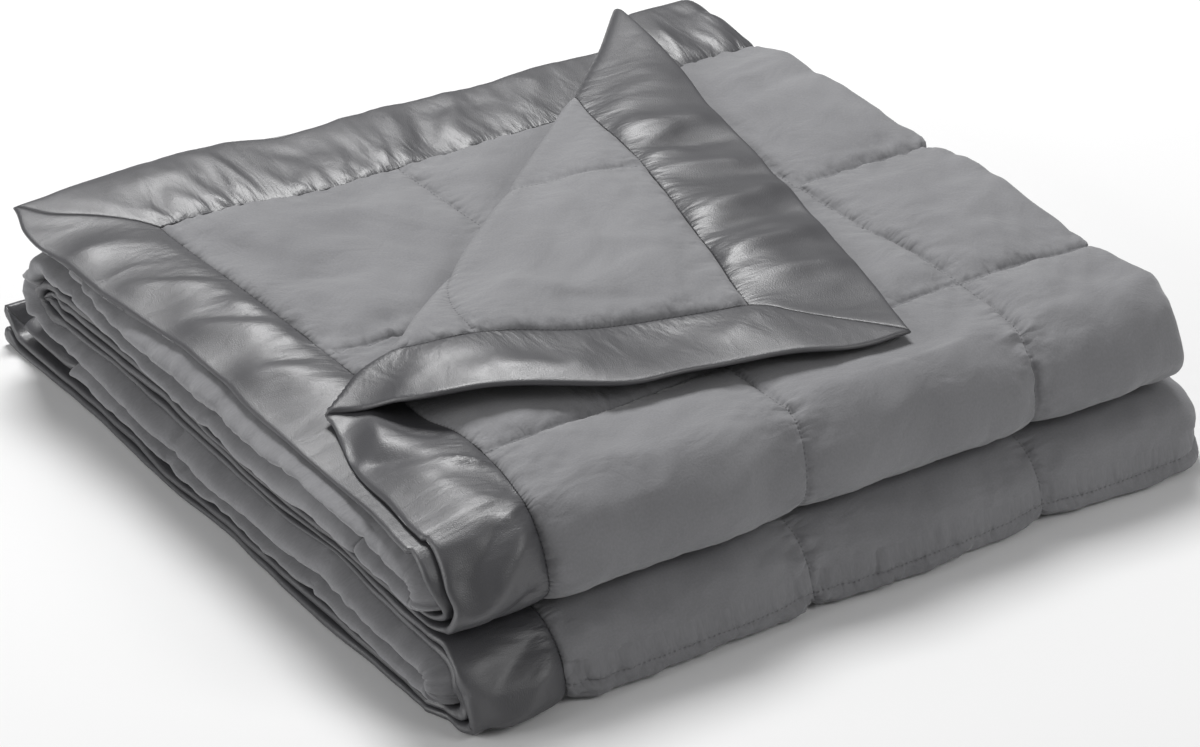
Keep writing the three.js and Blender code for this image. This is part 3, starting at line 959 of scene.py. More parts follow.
@dataclass(frozen=True)
class Crease:
    """A soft ridge, or a trough where its height is negative, between two places.

    The places are given across the stack and along the hem. The section is a narrow crest
    whose width is measured across the line, and it dies away at both ends. A lean above
    nought makes the side to the right of its direction steeper, and a bow bends the line to
    that side.
    """

    from_across: float
    from_along: float
    to_across: float
    to_along: float
    width: float
    height: float
    lean: float = 0.0
    bow: float = 0.0

    def at(self, across: Array, along: Array) -> Array:
        """Height of the crease at some places, in millimetres.

        Args:
            across: Distance across the stack.
            along: Distance along the hem.

        Returns:
            The heights.
        """
        run_across, run_along = self.to_across - self.from_across, self.to_along - self.from_along
        length = math.hypot(run_across, run_along)
        across, along = across - self.from_across, along - self.from_along
        share = (across * run_across + along * run_along) / length ** 2
        aside = (across * run_along - along * run_across) / length
        aside = aside - self.bow * 4.0 * share * (1.0 - share)
        width = self.width * (1.0 - self.lean * np.tanh(aside / self.width))
        taper = ease(share, -0.1, 0.45) * (1.0 - ease(share, 0.7, 1.1))
        return self.height * taper * np.exp(0.4 - np.sqrt((1.5 * aside / width) ** 2 + 0.16))


def creases_at(creases: tuple[Crease, ...], across: Array, along: Array) -> Array:
    """Sum of some creases at some places, in millimetres."""
    return sum((crease.at(across, along) for crease in creases), np.zeros(across.shape))


TOP_CREASES = (
    Crease(448, 114, 526, 108, 4, 0.9),
    Crease(448, 128, 532, 120, 4, 0.9),
    Crease(444, 154, 586, 120, 8, -1.2),
    Crease(442, 148, 446, 192, 6, -1.5),
    Crease(424, 294, 428, 368, 8, -1.2),
    Crease(28, 362, 17, 404, 10, 5.0),
    Crease(6, 370, 5, 400, 9, -3.4),
    Crease(36, 424, 6, 400, 8, -3.6),
    Crease(40, 426, 69, 446, 5, 3.4),
    Crease(34, 376, 66, 400, 11, -3.6),
    Crease(16, 412, 60, 518, 12, 1.6),
    Crease(54, 438, 80, 508, 10, -1.6),
    Crease(0, 512, 68, 542, 12, -1.6),
    Crease(492, 30, 484, 71, 6, 2.6),
    Crease(512, 20, 580, 22, 8, -2.2),
    Crease(470, 40, 462, 71, 5, 1.8),
)

FLAP_CREASES = (
    Crease(300, 75, 310, 0, 18, 6.4, lean=0.2),
    Crease(306, 71, 322, 40, 6, 1.6),
    Crease(276, 72, 300, 30, 5, 1.6),
    Crease(256, 75, 268, 34, 9, 3.0),
    Crease(238, 72, 246, 2, 14, 4.2),
    Crease(178, 75, 210, 0, 19, 8.0, lean=0.2, bow=3.0),
    Crease(188, 72, 206, 30, 5, 1.2),
    Crease(122, 78, 150, 0, 19, 8.0, lean=0.2, bow=2.0),
    Crease(134, 73, 160, 20, 6, 1.6),
    Crease(104, 76, 114, 30, 6, 1.6),
    Crease(96, 66, 100, 0, 15, 5.0),
    Crease(274, 70, 284, 0, 12, -2.4),
    Crease(222, 70, 232, 0, 14, -2.6),
    Crease(154, 70, 178, 0, 11, -2.4),
    Crease(346, 70, 372, 0, 16, 2.6),
    Crease(402, 60, 424, 0, 12, 2.0),
    Crease(72, 170, 8, 226, 17, 3.4, lean=0.3),
    Crease(70, 52, 26, 112, 16, 3.4, lean=0.3),
    Crease(34, 296, 4, 328, 14, 3.0),
    Crease(30, 222, 18, 246, 12, 2.0),
    Crease(50, 240, 10, 258, 14, 1.8),
    Crease(70, 106, 14, 170, 16, -2.0),
    Crease(130, 228, 92, 130, 10, 1.2),
    Crease(168, 170, 142, 86, 12, 1.2),
    Crease(110, 200, 84, 110, 9, -1.0),
)

SECOND_CREASES = (
    Crease(64, 92, 2, 72, 22, 5.0, lean=-0.35),
    Crease(64, 154, 4, 121, 22, 5.4, lean=-0.35),
    Crease(74, 218, 2, 187, 22, 6.0, lean=-0.35, bow=3.0),
    Crease(60, 270, 2, 262, 20, 5.0, lean=-0.35),
    Crease(74, 322, 2, 330, 22, 5.0, lean=-0.35),
    Crease(74, 206, 20, 178, 8, -2.6),
    Crease(74, 146, 30, 128, 8, -2.0),
    Crease(70, 254, 30, 250, 9, -2.6),
    Crease(77, 183, 46, 179, 7, 2.0),
    Crease(74, 232, 52, 228, 6, 1.6),
    Crease(113, 54, 127, 75, 4.5, 2.0),
    Crease(174, 54, 179, 72, 4, 1.6),
    Crease(249, 46, 245, 73, 4, 2.6),
    Crease(281, 50, 277, 73, 4, 2.0),
    Crease(67, 25, 125, 29, 14, 1.6),
    Crease(167, 17, 217, 35, 14, -1.8),
    Crease(280, 20, 350, 26, 14, -1.8),
    Crease(86, 94, 98, 132, 14, -2.6),
    Crease(87, 161, 152, 182, 13, -2.2),
    Crease(106, 231, 150, 230, 11, -2.4),
    Crease(100, 120, 128, 158, 13, 2.2),
    Crease(150, 110, 220, 130, 15, 1.6),
    Crease(180, 160, 230, 190, 14, -1.6),
)

FRONT_CREASES = (
    Crease(4, 566, 72, 520, 12, 5.0),
    Crease(0, 548, 50, 514, 10, -3.0),
    Crease(14, 596, 72, 552, 12, -4.6),
    Crease(44, 520, 74, 500, 8, 3.0),
    Crease(4, 1738, 72, 1706, 12, 4.6),
    Crease(14, 1716, 66, 1686, 10, -3.6),
    Crease(2, 1728, 34, 1764, 9, -3.2),
)


class Part(Enum):
    """The parts of the cloth that have a relief of their own."""

    TOP = "top layer"
    FLAP = "inner face of the turned corner"
    SECOND = "inner face of the second layer, beside its hem"
    UPPER = "upper front fold"
    LOWER = "lower front fold"
    SIDE = "right folds"
    BACK = "back fold"
    ROLL = "left rolls"
    COVERED = "top layer under the turned corner"


Opened = dict[Part, Array]


@dataclass(frozen=True)
class Pucker:
    """Short wrinkles square to a seam: their spacing, their height and how soon they fade."""

    pitch: float
    size: float
    fade: float
    stretch: float = 1.3
    valley: float = 0.2
    held: float = 2.0

    def at(self, distance: Array, along: Array, across: Array, seed: int) -> Array:
        """Height at a distance from the seam: noise, narrow along the seam and longer across it.

        Args:
            distance: Distance from the seam.
            along: Distance along it.
            across: Distance square to it.
            seed: Picks the noise.

        Returns:
            The heights.
        """
        start = growing(distance, self.held) * fading(distance, self.fade)
        folds = np.abs(swell(along / self.pitch, across / (self.stretch * self.pitch), seed))
        return self.size * start * (folds - self.valley)


@dataclass(frozen=True)
class Gather:
    """Folds of gathered satin: their waves, the share that reaches the hem, and the rest's fade."""

    wave: Wave
    share: float
    fade: float

    def at(self, along: Array, from_seam: Array, shift: Array) -> Array:
        """Height of the folds, whose pattern is shifted by a number of waves."""
        waves = self.wave.at(along + shift * self.wave.across, from_seam)
        return waves * (self.share + fading(from_seam, self.fade))


@dataclass(frozen=True)
class Gathered:
    """How strongly the satin of one part is gathered on the left hems and on the back hems."""

    part: Part
    left: float
    back: float


@dataclass(frozen=True)
class Quilting:
    """Thickness and relief of the cloth: full boxes, drawn-in seams and the bound edge.

    Half thicknesses are in layers, and crowns, waves and creases in millimetres.
    """

    stack: Stack = Stack()
    full: float = 0.45
    sewn: float = 0.07
    rolled: float = 0.40
    lower_least: float = 0.26
    bound: float = 0.22
    bound_below: float = 0.38
    hem_round: float = 2.4
    sag: float = 0.50
    top_crown: float = 8.0
    flap_crown: float = 6.5
    second_crown: float = 7.0
    upper_fold_crown: float = 5.5
    lower_fold_crown: float = 4.5
    side_crown: float = 3.0
    border_crown: float = 3.0
    turned_crown: float = 1.0
    border_slope: float = 3.0
    turned_slope: float = 0.5
    covered_loss: float = 0.55
    side_calm: float = 0.7
    field_creases: float = 1.5
    mitre_groove: float = 0.6
    mitre_hip: float = 6.5
    mitre_over: float = 26.0
    roll_slips: tuple[float, ...] = (-19.0, -6.0, 40.0, 45.0)
    roll_slip_beside: Window = Window(fall=(30.0, 100.0))
    front_seam_angle: float = 150.0
    lower_seam_angle: float = 100.0
    back_seam_angle: float = 90.0
    open_over: float = 30.0
    second_open: Window = Window(rise=(14.0, 60.0))
    upper_open: Window = Window(fall=(105.0, 165.0))
    lower_open: Window = Window((5.0, 60.0), (115.0, 160.0))
    slant: tuple[float, float] = (0.8, 0.6)
    slanting_slack: tuple[Wave, ...] = (Wave(3.6, 64.0, 110.0, 21), Wave(1.0, 19.0, 40.0, 23, crested=True))
    straight_slack: Wave = Wave(2.2, 36.0, 30.0, 22)
    puckers: tuple[Pucker, ...] = (Pucker(9.0, 3.4, 8.0), Pucker(20.0, 3.4, 20.0))
    puckered: Wave = Wave(0.9, 120.0, 120.0, 51)
    roll_waves: Wave = Wave(0.8, 66.0, 30.0, 31)
    roll_crests: Wave = Wave(1.0, 19.0, 12.0, 32, crested=True)
    roll_pinch: float = 1.1
    gathers: tuple[Gather, ...] = (
        Gather(Wave(3.8, 43.0, 120.0, 41, crested=True), 0.0, math.inf),
        Gather(Wave(2.0, 19.0, 50.0, 42, crested=True), 0.3, 30.0),
        Gather(Wave(1.0, 8.0, 22.0, 43), 0.2, 14.0),
    )
    gather_bend: Wave = Wave(5.0, 36.0, 50.0, 44)
    hem_calm_from: float = 36.0
    gathered: tuple[Gathered, ...] = (
        Gathered(Part.FLAP, left=0.10, back=0.38),
        Gathered(Part.SECOND, left=0.35, back=0.9),
        Gathered(Part.TOP, left=0.3, back=0.9),
        Gathered(Part.UPPER, left=0.4, back=0.4),
        Gathered(Part.LOWER, left=0.4, back=0.4),
        Gathered(Part.BACK, left=0.4, back=0.4),
    )

    def cross_seam(self, s: Array, t: Array) -> Array:
        """Distance along t to the nearest seam as it lies across the stack.

        On the left rolls the seams of each panel have slipped to places of their own.

        Args:
            s: Flat place across.
            t: Flat place along.

        Returns:
            The distances, in millimetres.
        """
        stack = self.stack
        first, second_0, second_1, third_0, third_1, fourth_0 = stack.t_ends
        u, _ = stack.along_stack(t, np.zeros_like(t))
        slip = np.select([t < second_0, t < third_0, t < fourth_0], self.roll_slips[:3], self.roll_slips[3])
        from_roll = np.abs(s - (stack.s_ends[2] + stack.s_ends[3]) / 2.0)
        u = u - slip * self.roll_slip_beside.at(from_roll)
        straight = np.min([np.abs(u - seam) for seam in stack.seams_u], axis=0)
        degree = stack.panel_turn / 180.0
        where = [
            (t > first) & (t < second_0),
            (t > second_1) & (t < third_0),
            (t > third_1) & (t < fourth_0),
        ]
        turned = [
            np.minimum(np.abs(t - first - degree * self.front_seam_angle), 90.0),
            np.abs(t - second_1 - degree * self.back_seam_angle),
            np.abs(t - third_1 - degree * self.lower_seam_angle),
        ]
        return np.select(where, turned, straight)

    def draw(self, distance: Array) -> Array:
        """How full the quilting is at a distance from a seam: a quick rise, then a slow one."""
        return 0.45 * growing(distance, 3.5) + 0.55 * ease(distance, 0.0, 60.0)

    def openness(self, s: Array, t: Array, face: Face) -> Opened:
        """How open each part of one face lies, from 0 under another layer to 1.

        Args:
            s: Flat place across.
            t: Flat place along.
            face: Which face.

        Returns:
            The openness of each part.
        """
        stack, corner = self.stack, self.stack.corner
        top, fourth_0, fourth_1, third_0, _, second_0 = stack.s_ends
        first, second_t, second_1, third_t, third_1, fourth_t = stack.t_ends
        moved = stack.slipped(s, t)
        past = corner.past(*moved)
        past_second = corner.past(stack.blanket.side - s, t)
        outer, inner = face is Face.OUTER, face is Face.INNER
        top_panel = (t <= first) & (s <= top)
        round_side = 1.0 - ease(s, top, (top + fourth_0) / 2.0)
        upper_angle, lower_angle = ramp(t, first, second_t) * 180.0, ramp(t, third_1, fourth_t) * 180.0
        upper = round_side * self.upper_open.at(upper_angle)
        lower = round_side * self.lower_open.at(lower_angle)
        side = np.sin(np.pi * ramp(s, top, fourth_0))
        back = np.sin(np.pi * ramp(t, second_1, third_t))
        at_back = (s > fourth_0) & (s < fourth_1) & (t > second_1) & (t < third_t)
        flap = ease(past, corner.bend, corner.bend + self.open_over)
        second = self.second_open.at(past_second)
        return {
            Part.TOP: np.where((t <= first) & outer, ease(-past, 0.0, self.open_over) * round_side, 0.0),
            Part.FLAP: np.where(top_panel & inner, flap, 0.0),
            Part.SECOND: np.where((t <= first) & (s >= second_0) & inner, second, 0.0),
            Part.UPPER: np.where(outer & (t > first) & (t < second_t), upper, 0.0),
            Part.LOWER: np.where(outer & (t > third_1) & (t < fourth_t), lower, 0.0),
            Part.SIDE: np.where((s > top) & (s < fourth_0) & outer, side, 0.0),
            Part.BACK: np.where(at_back & outer, back, 0.0),
            Part.ROLL: np.where((s > fourth_1) & (s < third_0) & outer, 1.0, 0.0),
            Part.COVERED: np.where(top_panel & outer, corner.cover(*moved), 0.0),
        }

    def slack(self, s: Array, t: Array) -> Array:
        """Slack of the cloth between its seams, some of it on the slant, in millimetres.

        Args:
            s: Flat place across.
            t: Flat place along.

        Returns:
            The heights.
        """
        cosine, sine = self.slant
        slanting, square = s * cosine + t * sine, s * sine - t * cosine
        waves = sum(wave.at(slanting, square) for wave in self.slanting_slack)
        return waves + self.straight_slack.at(s, t)

    def puckers_at(self, s: Array, t: Array, to_seam: Array, cross: Array) -> Array:
        """Short wrinkles square to each seam, in millimetres.

        They start a little way from the stitches and die away, and some stretches of seam
        have more of them.

        Args:
            s: Flat place across.
            t: Flat place along.
            to_seam: Distance to a seam along t.
            cross: Distance to a seam along s.

        Returns:
            The heights.
        """
        strength = np.clip(1.0 + self.puckered.at(s, t), 0.25, 2.0)
        height = sum(pucker.at(to_seam, t, s, 52) + pucker.at(cross, s, t, 53) for pucker in self.puckers)
        return strength * height

    def placed(self, s: Array, t: Array, opened: Opened) -> Array:
        """The main creases, each on the part of the cloth where it shows, in millimetres.

        Args:
            s: Flat place across.
            t: Flat place along.
            opened: How open each part lies.

        Returns:
            The heights.
        """
        side = self.stack.blanket.side
        height = opened[Part.TOP] * creases_at(TOP_CREASES, s, t)
        height += opened[Part.FLAP] * creases_at(FLAP_CREASES, s, t)
        height += (opened[Part.UPPER] + opened[Part.LOWER]) * creases_at(FRONT_CREASES, s, t)
        return height + opened[Part.SECOND] * creases_at(SECOND_CREASES, side - s, t)

    def ruching(self, s: Array, t: Array, opened: Opened) -> Array:
        """Folds of the satin, gathered at its seam and slack across its width, in millimetres.

        Crests run from the seam to the hem at three spacings. The narrow ones die away soon
        and all of them fade at the mitres and towards the hem.

        Args:
            s: Flat place across.
            t: Flat place along.
            opened: How open each part lies.

        Returns:
            The heights.
        """
        side, width = self.stack.blanket.side, self.stack.blanket.border
        from_side, from_end = np.minimum(s, side - s), np.minimum(t, side - t)
        from_seam = width - np.minimum(from_side, from_end)
        left = from_side <= from_end
        along = np.where(left, t, s)
        along = along + self.gather_bend.at(from_seam, along)
        shift = np.where(left, 0.0, 37.0)
        strength = sum(opened[row.part] * np.where(left, row.left, row.back) for row in self.gathered)
        folds = sum(gather.at(along, from_seam, shift) for gather in self.gathers)
        to_hem = 1.0 - 0.45 * ease(from_seam, self.hem_calm_from, width)
        from_mitre = ease(np.abs(from_side - from_end), 0.0, 20.0)
        return strength * growing(from_seam, 3.0) * to_hem * from_mitre * folds

    def crowned(self, t: Array, to_seam: Array, cross: Array, opened: Opened) -> Array:
        """Crown of the quilted boxes, drawn down at their seams, in millimetres.

        Args:
            t: Flat place along.
            to_seam: Distance to a seam along t.
            cross: Distance to a seam along s.
            opened: How open each part lies.

        Returns:
            The heights.
        """
        first = self.stack.t_ends[0]
        heights = {
            Part.TOP: mix(self.top_crown, self.upper_fold_crown, ease(t, first - 70.0, first)),
            Part.FLAP: self.flap_crown,
            Part.SECOND: self.second_crown,
            Part.UPPER: self.upper_fold_crown,
            Part.LOWER: self.lower_fold_crown,
            Part.SIDE: self.side_crown,
            Part.BACK: self.side_crown,
        }
        crown = self.draw(to_seam) * mix(self.draw(cross), 1.0, 0.6 * opened[Part.LOWER])
        return sum(opened[part] * crown * height for part, height in heights.items())

    def fullness(self, s: Array, t: Array, to_seam: Array, cross: Array, opened: Opened) -> Array:
        """Half of the field's thickness, in layers: thin at the seams, and full where it is hidden.

        Args:
            s: Flat place across.
            t: Flat place along.
            to_seam: Distance to a seam along t.
            cross: Distance to a seam along s.
            opened: How open each part lies.

        Returns:
            The half thickness.
        """
        _, fourth_0, fourth_1, third_0, third_1, _ = self.stack.s_ends
        _, _, second_1, third_t, _, _ = self.stack.t_ends
        beside = 20.0
        inside = (s > third_0 + beside) & (s < third_1)
        under = (s > fourth_0) & (s < fourth_1 - beside) & ((t < second_1) | (t > third_t))
        drawn = growing(to_seam, 7.0) * growing(cross, 7.0)
        roll_over = 24.0
        rolled = ease(s, fourth_1 - roll_over, fourth_1) * (1.0 - ease(s, third_0, third_0 + roll_over))
        lower = self.lower_least * opened[Part.LOWER] * ease(to_seam, 4.0, 30.0)
        least = np.maximum(mix(self.sewn, self.rolled, rolled), lower)
        return mix(least, self.full, np.where(inside | under, 1.0, drawn))

    def roll_relief(self, s: Array, t: Array, cross: Array) -> Array:
        """Pinches and waves of the left rolls, in millimetres.

        Args:
            s: Flat place across.
            t: Flat place along.
            cross: Distance to a seam along s.

        Returns:
            The heights.
        """
        pinched = 0.3 * ease(cross, 0.0, 40.0) - self.roll_pinch * fading(cross, 1.8)
        leaning = t + s * self.roll_crests.across / 26.0
        return pinched + self.roll_waves.at(t, s) + self.roll_crests.at(leaning, s)

    def field(self, s: Array, t: Array, face: Face) -> Array:
        """Offset of one face of the quilted field from the middle of the cloth, in layers.

        Args:
            s: Flat place across.
            t: Flat place along.
            face: Which face.

        Returns:
            The offset towards the outer face.
        """
        to_seam, cross = self.stack.blanket.to_seam(s), self.cross_seam(s, t)
        opened = self.openness(s, t, face)
        quilted = (Part.TOP, Part.FLAP, Part.SECOND, Part.UPPER, Part.LOWER, Part.SIDE, Part.BACK)
        shown = sum(opened[part] for part in quilted)
        shifted_s = s + (400.0 if face is Face.INNER else 0.0)
        slack_share = growing(to_seam, 12.0) * growing(cross, 12.0)
        slack_share = slack_share * (1.0 - self.side_calm * opened[Part.SIDE])
        relief = self.crowned(t, to_seam, cross, opened)
        relief += shown * slack_share * self.slack(shifted_s, t)
        relief += shown * self.puckers_at(shifted_s, t, to_seam, cross)
        relief += self.field_creases * growing(to_seam, 5.0) * growing(cross, 5.0) * self.placed(s, t, opened)
        relief += opened[Part.ROLL] * self.roll_relief(s, t, cross)
        relief *= 1.0 - self.covered_loss * opened[Part.COVERED]
        half = self.fullness(s, t, to_seam, cross, opened)
        return face.value * (half + relief / self.stack.panels.top_pitch)

    def bound_half(self, t: Array, from_hem: Array, rounded: Array) -> Array:
        """Half of the binding's thickness, in layers: round at the hem and thin at its seam.

        Args:
            t: Flat place along.
            from_hem: Distance from the nearest hem.
            rounded: Section of the hem, from 0 at its edge to 1.

        Returns:
            The half thickness.
        """
        first, second_t = self.stack.t_ends[:2]
        below = 0.4 * ease(t, first, second_t) + 0.6 * ease(t, second_t, second_t + 30.0)
        bound = mix(self.bound, self.bound_below, below)
        drawn = growing(self.stack.blanket.border - from_hem, 6.0)
        return np.maximum(bound * rounded, 0.02) * drawn + self.sewn * (1.0 - drawn)

    def satin_form(self, from_side: Array, from_end: Array, opened: Opened) -> Array:
        """Crown of the satin between its seam and its hem, or its slope down to the seam.

        Both are softened where two strips meet in a mitre, in millimetres.

        Args:
            from_side: Distance from the nearest side hem.
            from_end: Distance from the nearest end hem.
            opened: How open each part lies.

        Returns:
            The heights.
        """
        width = self.stack.blanket.border
        from_hem = np.minimum(from_side, from_end)
        meeting = np.maximum(0.0, 1.0 - np.abs(from_side - from_end) / self.mitre_over)
        hip = self.mitre_hip * meeting ** 2 * ramp(from_hem, 0.0, self.mitre_over / 2.0)
        share = (from_hem - hip) / width
        body = np.clip(4.0 * share * (1.0 - share), 0.0, 1.0) ** 0.7
        sloping = mix(opened[Part.FLAP], opened[Part.SECOND], ease(from_end - from_side, -16.0, 16.0))
        crown = mix(self.border_crown, self.turned_crown, opened[Part.FLAP])
        slope = mix(self.border_slope, self.turned_slope, opened[Part.FLAP])
        rise = ease(width - from_hem, -6.0, 14.0)
        shown = sum(opened[row.part] for row in self.gathered)
        return (shown - sloping) * crown * body + sloping * slope * share ** 0.8 * rise

    def border(self, s: Array, t: Array, face: Face) -> Array:
        """Offset of one face of the binding from the middle of the cloth, in layers.

        Creases of the turned corner near its hem move both faces together, so the hem waves
        with them. Where the top hem lies on the stack it sags.

        Args:
            s: Flat place across.
            t: Flat place along.
            face: Which face.

        Returns:
            The offset towards the outer face.
        """
        stack = self.stack
        side, width = stack.blanket.side, stack.blanket.border
        first, second_t = stack.t_ends[:2]
        from_side, from_end = np.minimum(s, side - s), np.minimum(t, side - t)
        from_hem = np.minimum(from_side, from_end)
        rounded = np.sqrt(np.clip(1.0 - (1.0 - ramp(from_hem, 0.0, self.hem_round)) ** 2, 0.0, 1.0))
        opened = self.openness(s, t, face)
        shown = sum(opened[row.part] for row in self.gathered)
        on_flap = self.openness(s, t, Face.INNER)[Part.FLAP]
        hemward = on_flap * (1.0 - ease(from_hem, 0.0, 26.0)) * creases_at(FLAP_CREASES, s, t)
        placed = self.placed(s, t, opened) - (hemward if face is Face.INNER else 0.0)
        relief = self.satin_form(from_side, from_end, opened) + self.ruching(s, t, opened)
        relief += growing(width - from_hem, 4.0) * rounded * placed
        relief *= 1.0 - self.covered_loss * opened[Part.COVERED]
        relief -= self.mitre_groove * rounded * shown * fading(np.abs(from_side - from_end), 2.2)
        half = self.bound_half(t, from_hem, rounded)
        lying = ease(-stack.corner.past(*stack.slipped(s, t)), 0.0, 16.0)
        lying = lying * (1.0 - ease(t, first + 20.0, second_t - 20.0)) * (1.0 - ease(s, 2.0, 36.0))
        sag = np.where(s < width, self.sag * lying, 0.0)
        return face.value * (half + relief / stack.panels.top_pitch) - sag - hemward / stack.panels.top_pitch


@dataclass
class Net:
    """A flat net of points, in rows, that becomes a closed cloth.

    Each band of rows has its own columns, and where two bands meet their rows are joined by
    a strip of triangles from every point to the nearest one on the other row.
    """

    s: list[Array] = field(default_factory=list)
    t: list[Array] = field(default_factory=list)
    quads: list[Array] = field(default_factory=list)
    triangles: list[Array] = field(default_factory=list)
    count: int = 0
    first_row: Array | None = None
    last_row: Array | None = None
    last_s: Array | None = None
    left: list[Array] = field(default_factory=list)
    right: list[Array] = field(default_factory=list)

    def add_band(self, s: Array, t: Array) -> None:
        """Add a band of rows.

        Args:
            s: Flat s of each point, rows by columns.
            t: Flat t of each point, of the same shape.
        """
        index = self.count + np.arange(s.size).reshape(s.shape)
        self.s.append(s.ravel())
        self.t.append(t.ravel())
        corners = [index[:-1, :-1], index[:-1, 1:], index[1:, 1:], index[1:, :-1]]
        self.quads.append(np.stack(corners, -1).reshape(-1, 4))
        if self.last_row is None:
            self.first_row = index[0]
        else:
            self._join(self.last_row, self.last_s, index[0], s[0])
        self.last_row, self.last_s = index[-1], s[-1]
        self.left.append(index[:, 0])
        self.right.append(index[:, -1])
        self.count += s.size

    def _join(self, lower: Array, lower_s: Array, upper: Array, upper_s: Array) -> None:
        """Join two rows whose columns differ.

        Each gap of the finer row takes the nearest point of the coarser one, and each gap of
        the coarser row takes the point of the finer one where two of those meet.

        Args:
            lower: Indices of one row.
            lower_s: Their places.
            upper: Indices of the next row.
            upper_s: Their places.
        """
        if len(lower) == len(upper):
            self.quads.append(np.stack([lower[:-1], lower[1:], upper[1:], upper[:-1]], -1))
            return
        rows = [(lower, lower_s), (upper, upper_s)]
        order = 1 if len(lower) > len(upper) else -1
        (fine, fine_s), (coarse, coarse_s) = rows[::order]
        fine_gaps, coarse_gaps = (fine_s[:-1] + fine_s[1:]) / 2.0, (coarse_s[:-1] + coarse_s[1:]) / 2.0
        near = coarse[np.searchsorted(coarse_gaps, fine_gaps)]
        meeting = fine[np.searchsorted(fine_gaps, coarse_gaps, side="right")]
        fine_ends, coarse_ends = (fine[:-1], fine[1:]), (coarse[1:], coarse[:-1])
        self.triangles.append(np.stack([*fine_ends[::order], near], -1))
        self.triangles.append(np.stack([meeting, *coarse_ends[::order]], -1))

    def outline(self) -> Array:
        """Indices round the net, in one turn.

        Returns:
            The indices.
        """
        right = np.concatenate(self.right)
        left = np.concatenate(self.left)
        return np.concatenate([self.first_row, right[1:], self.last_row[::-1][1:], left[::-1][1:-1]])


def add_object(name: str, data: bpy.types.ID) -> bpy.types.Object:
    """Make an object of some data and put it in the scene.

    Args:
        name: Its name.
        data: Its mesh, light or camera.

    Returns:
        The object.
    """
    made = bpy.data.objects.new(name, data)
    bpy.context.collection.objects.link(made)
    return made


@dataclass
class ClothPiece:
    """A closed piece of cloth made from a flat net."""

    name: str
    net: Net
    stack: Stack

    def build(
        self,
        offset: Callable[[Array, Array, Face], Array],
        material: bpy.types.Material,
        seams: Callable[[Array, Array], Distances],
    ) -> bpy.types.Object:
        """Make the piece's mesh and object.

        Both faces are the net, carried into the stack, and a wall round its outline joins
        them. The wall is shaded flat, which keeps its edges crisp.

        Args:
            offset: Function of s, t and face that gives each face's offset in layers.
            material: The piece's finish.
            seams: Function of s and t that gives three distances for the finish, in millimetres.

        Returns:
            The finished object at the origin.
        """
        s, t = np.concatenate(self.net.s), np.concatenate(self.net.t)
        points = np.concatenate([self.stack.place(s, t, offset(s, t, face)) for face in Face])
        points[:, :2] -= STACK_CENTRE
        count = len(s)
        ring = self.net.outline()
        wall = np.stack([ring, np.roll(ring, -1), np.roll(ring, -1) + count, ring + count], -1)
        quads = np.concatenate(self.net.quads)
        quads = np.concatenate([quads[:, ::-1], quads + count, wall])
        triangles = np.concatenate([np.zeros((0, 3), int), *self.net.triangles])
        triangles = np.concatenate([triangles[:, ::-1], triangles + count])
        smooth = np.ones(len(quads) + len(triangles), bool)
        smooth[len(quads) - len(wall) : len(quads)] = False
        mesh = self._mesh(points, quads, triangles)
        mesh.polygons.foreach_set("use_smooth", smooth)
        self._write(mesh, "cloth", (s, t, np.zeros(count)))
        self._write(mesh, "seams", seams(s, t))
        mesh.materials.append(material)
        mesh.validate()
        return add_object(self.name, mesh)

    def _mesh(self, points: Array, quads: Array, triangles: Array) -> bpy.types.Mesh:
        """A mesh of points in millimetres, quads and triangles.

        Args:
            points: Rows of x, y and z.
            quads: Rows of four indices.
            triangles: Rows of three indices.

        Returns:
            The mesh.
        """
        mesh = bpy.data.meshes.new(self.name)
        mesh.vertices.add(len(points))
        mesh.vertices.foreach_set("co", (points * MILLIMETRE).astype(np.float32).ravel())
        corners = np.concatenate([quads.ravel(), triangles.ravel()])
        mesh.loops.add(len(corners))
        mesh.loops.foreach_set("vertex_index", corners.astype(np.int32))
        sizes = np.repeat([4, 3], [len(quads), len(triangles)])
        mesh.polygons.add(len(sizes))
        mesh.polygons.foreach_set("loop_start", (np.cumsum(sizes) - sizes).astype(np.int32))
        mesh.update(calc_edges=True)
        return mesh

    def _write(self, mesh: bpy.types.Mesh, name: str, values: Distances) -> None:
        """Store three distances for each point, the same on both faces, in metres.

        Args:
            mesh: The mesh.
            name: Name of the attribute.
            values: The three distances.
        """
        rows = np.stack(values, -1) * MILLIMETRE
        layer = mesh.attributes.new(name, "FLOAT_VECTOR", "POINT")
        layer.data.foreach_set("vector", np.concatenate([rows, rows]).astype(np.float32).ravel())


def lines(start: float, stop: float, step: float, seams: tuple[float, ...] = ()) -> Array:
    """Grid lines from start to stop, closer together beside each seam.

    Args:
        start: First line.
        stop: Last line.
        step: Widest spacing.
        seams: Places with a line on them and closer ones to both sides.

    Returns:
        The lines in order.
    """
    beside = np.array([0.0, 1.4, 3.6, 7.0, 11.5])
    clear = 0.7
    marks = {start, stop}
    for seam in seams:
        places = np.concatenate([seam - beside, seam + beside])
        marks.update(places[(places > start + clear) & (places < stop - clear)].tolist())
    marks = sorted(marks)
    runs = [
        np.linspace(low, high, max(1, math.ceil((high - low) / step - 1e-6)) + 1)[:-1]
        for low, high in zip(marks[:-1], marks[1:])
    ]
    return np.concatenate([*runs, [stop]])


def clipped(places: Array, low: float, high: float) -> Array:
    """The grid lines between two limits, with one on each limit that cuts the range.

    Args:
        places: Grid lines in order.
        low: Lower limit.
        high: Upper limit.

    Returns:
        The lines kept.
    """
    clear = 0.3
    low, high = max(low, float(places[0])), min(high, float(places[-1]))
    inside = places[(places > low + clear) & (places < high - clear)]
    return np.concatenate([[low], inside, [high]])


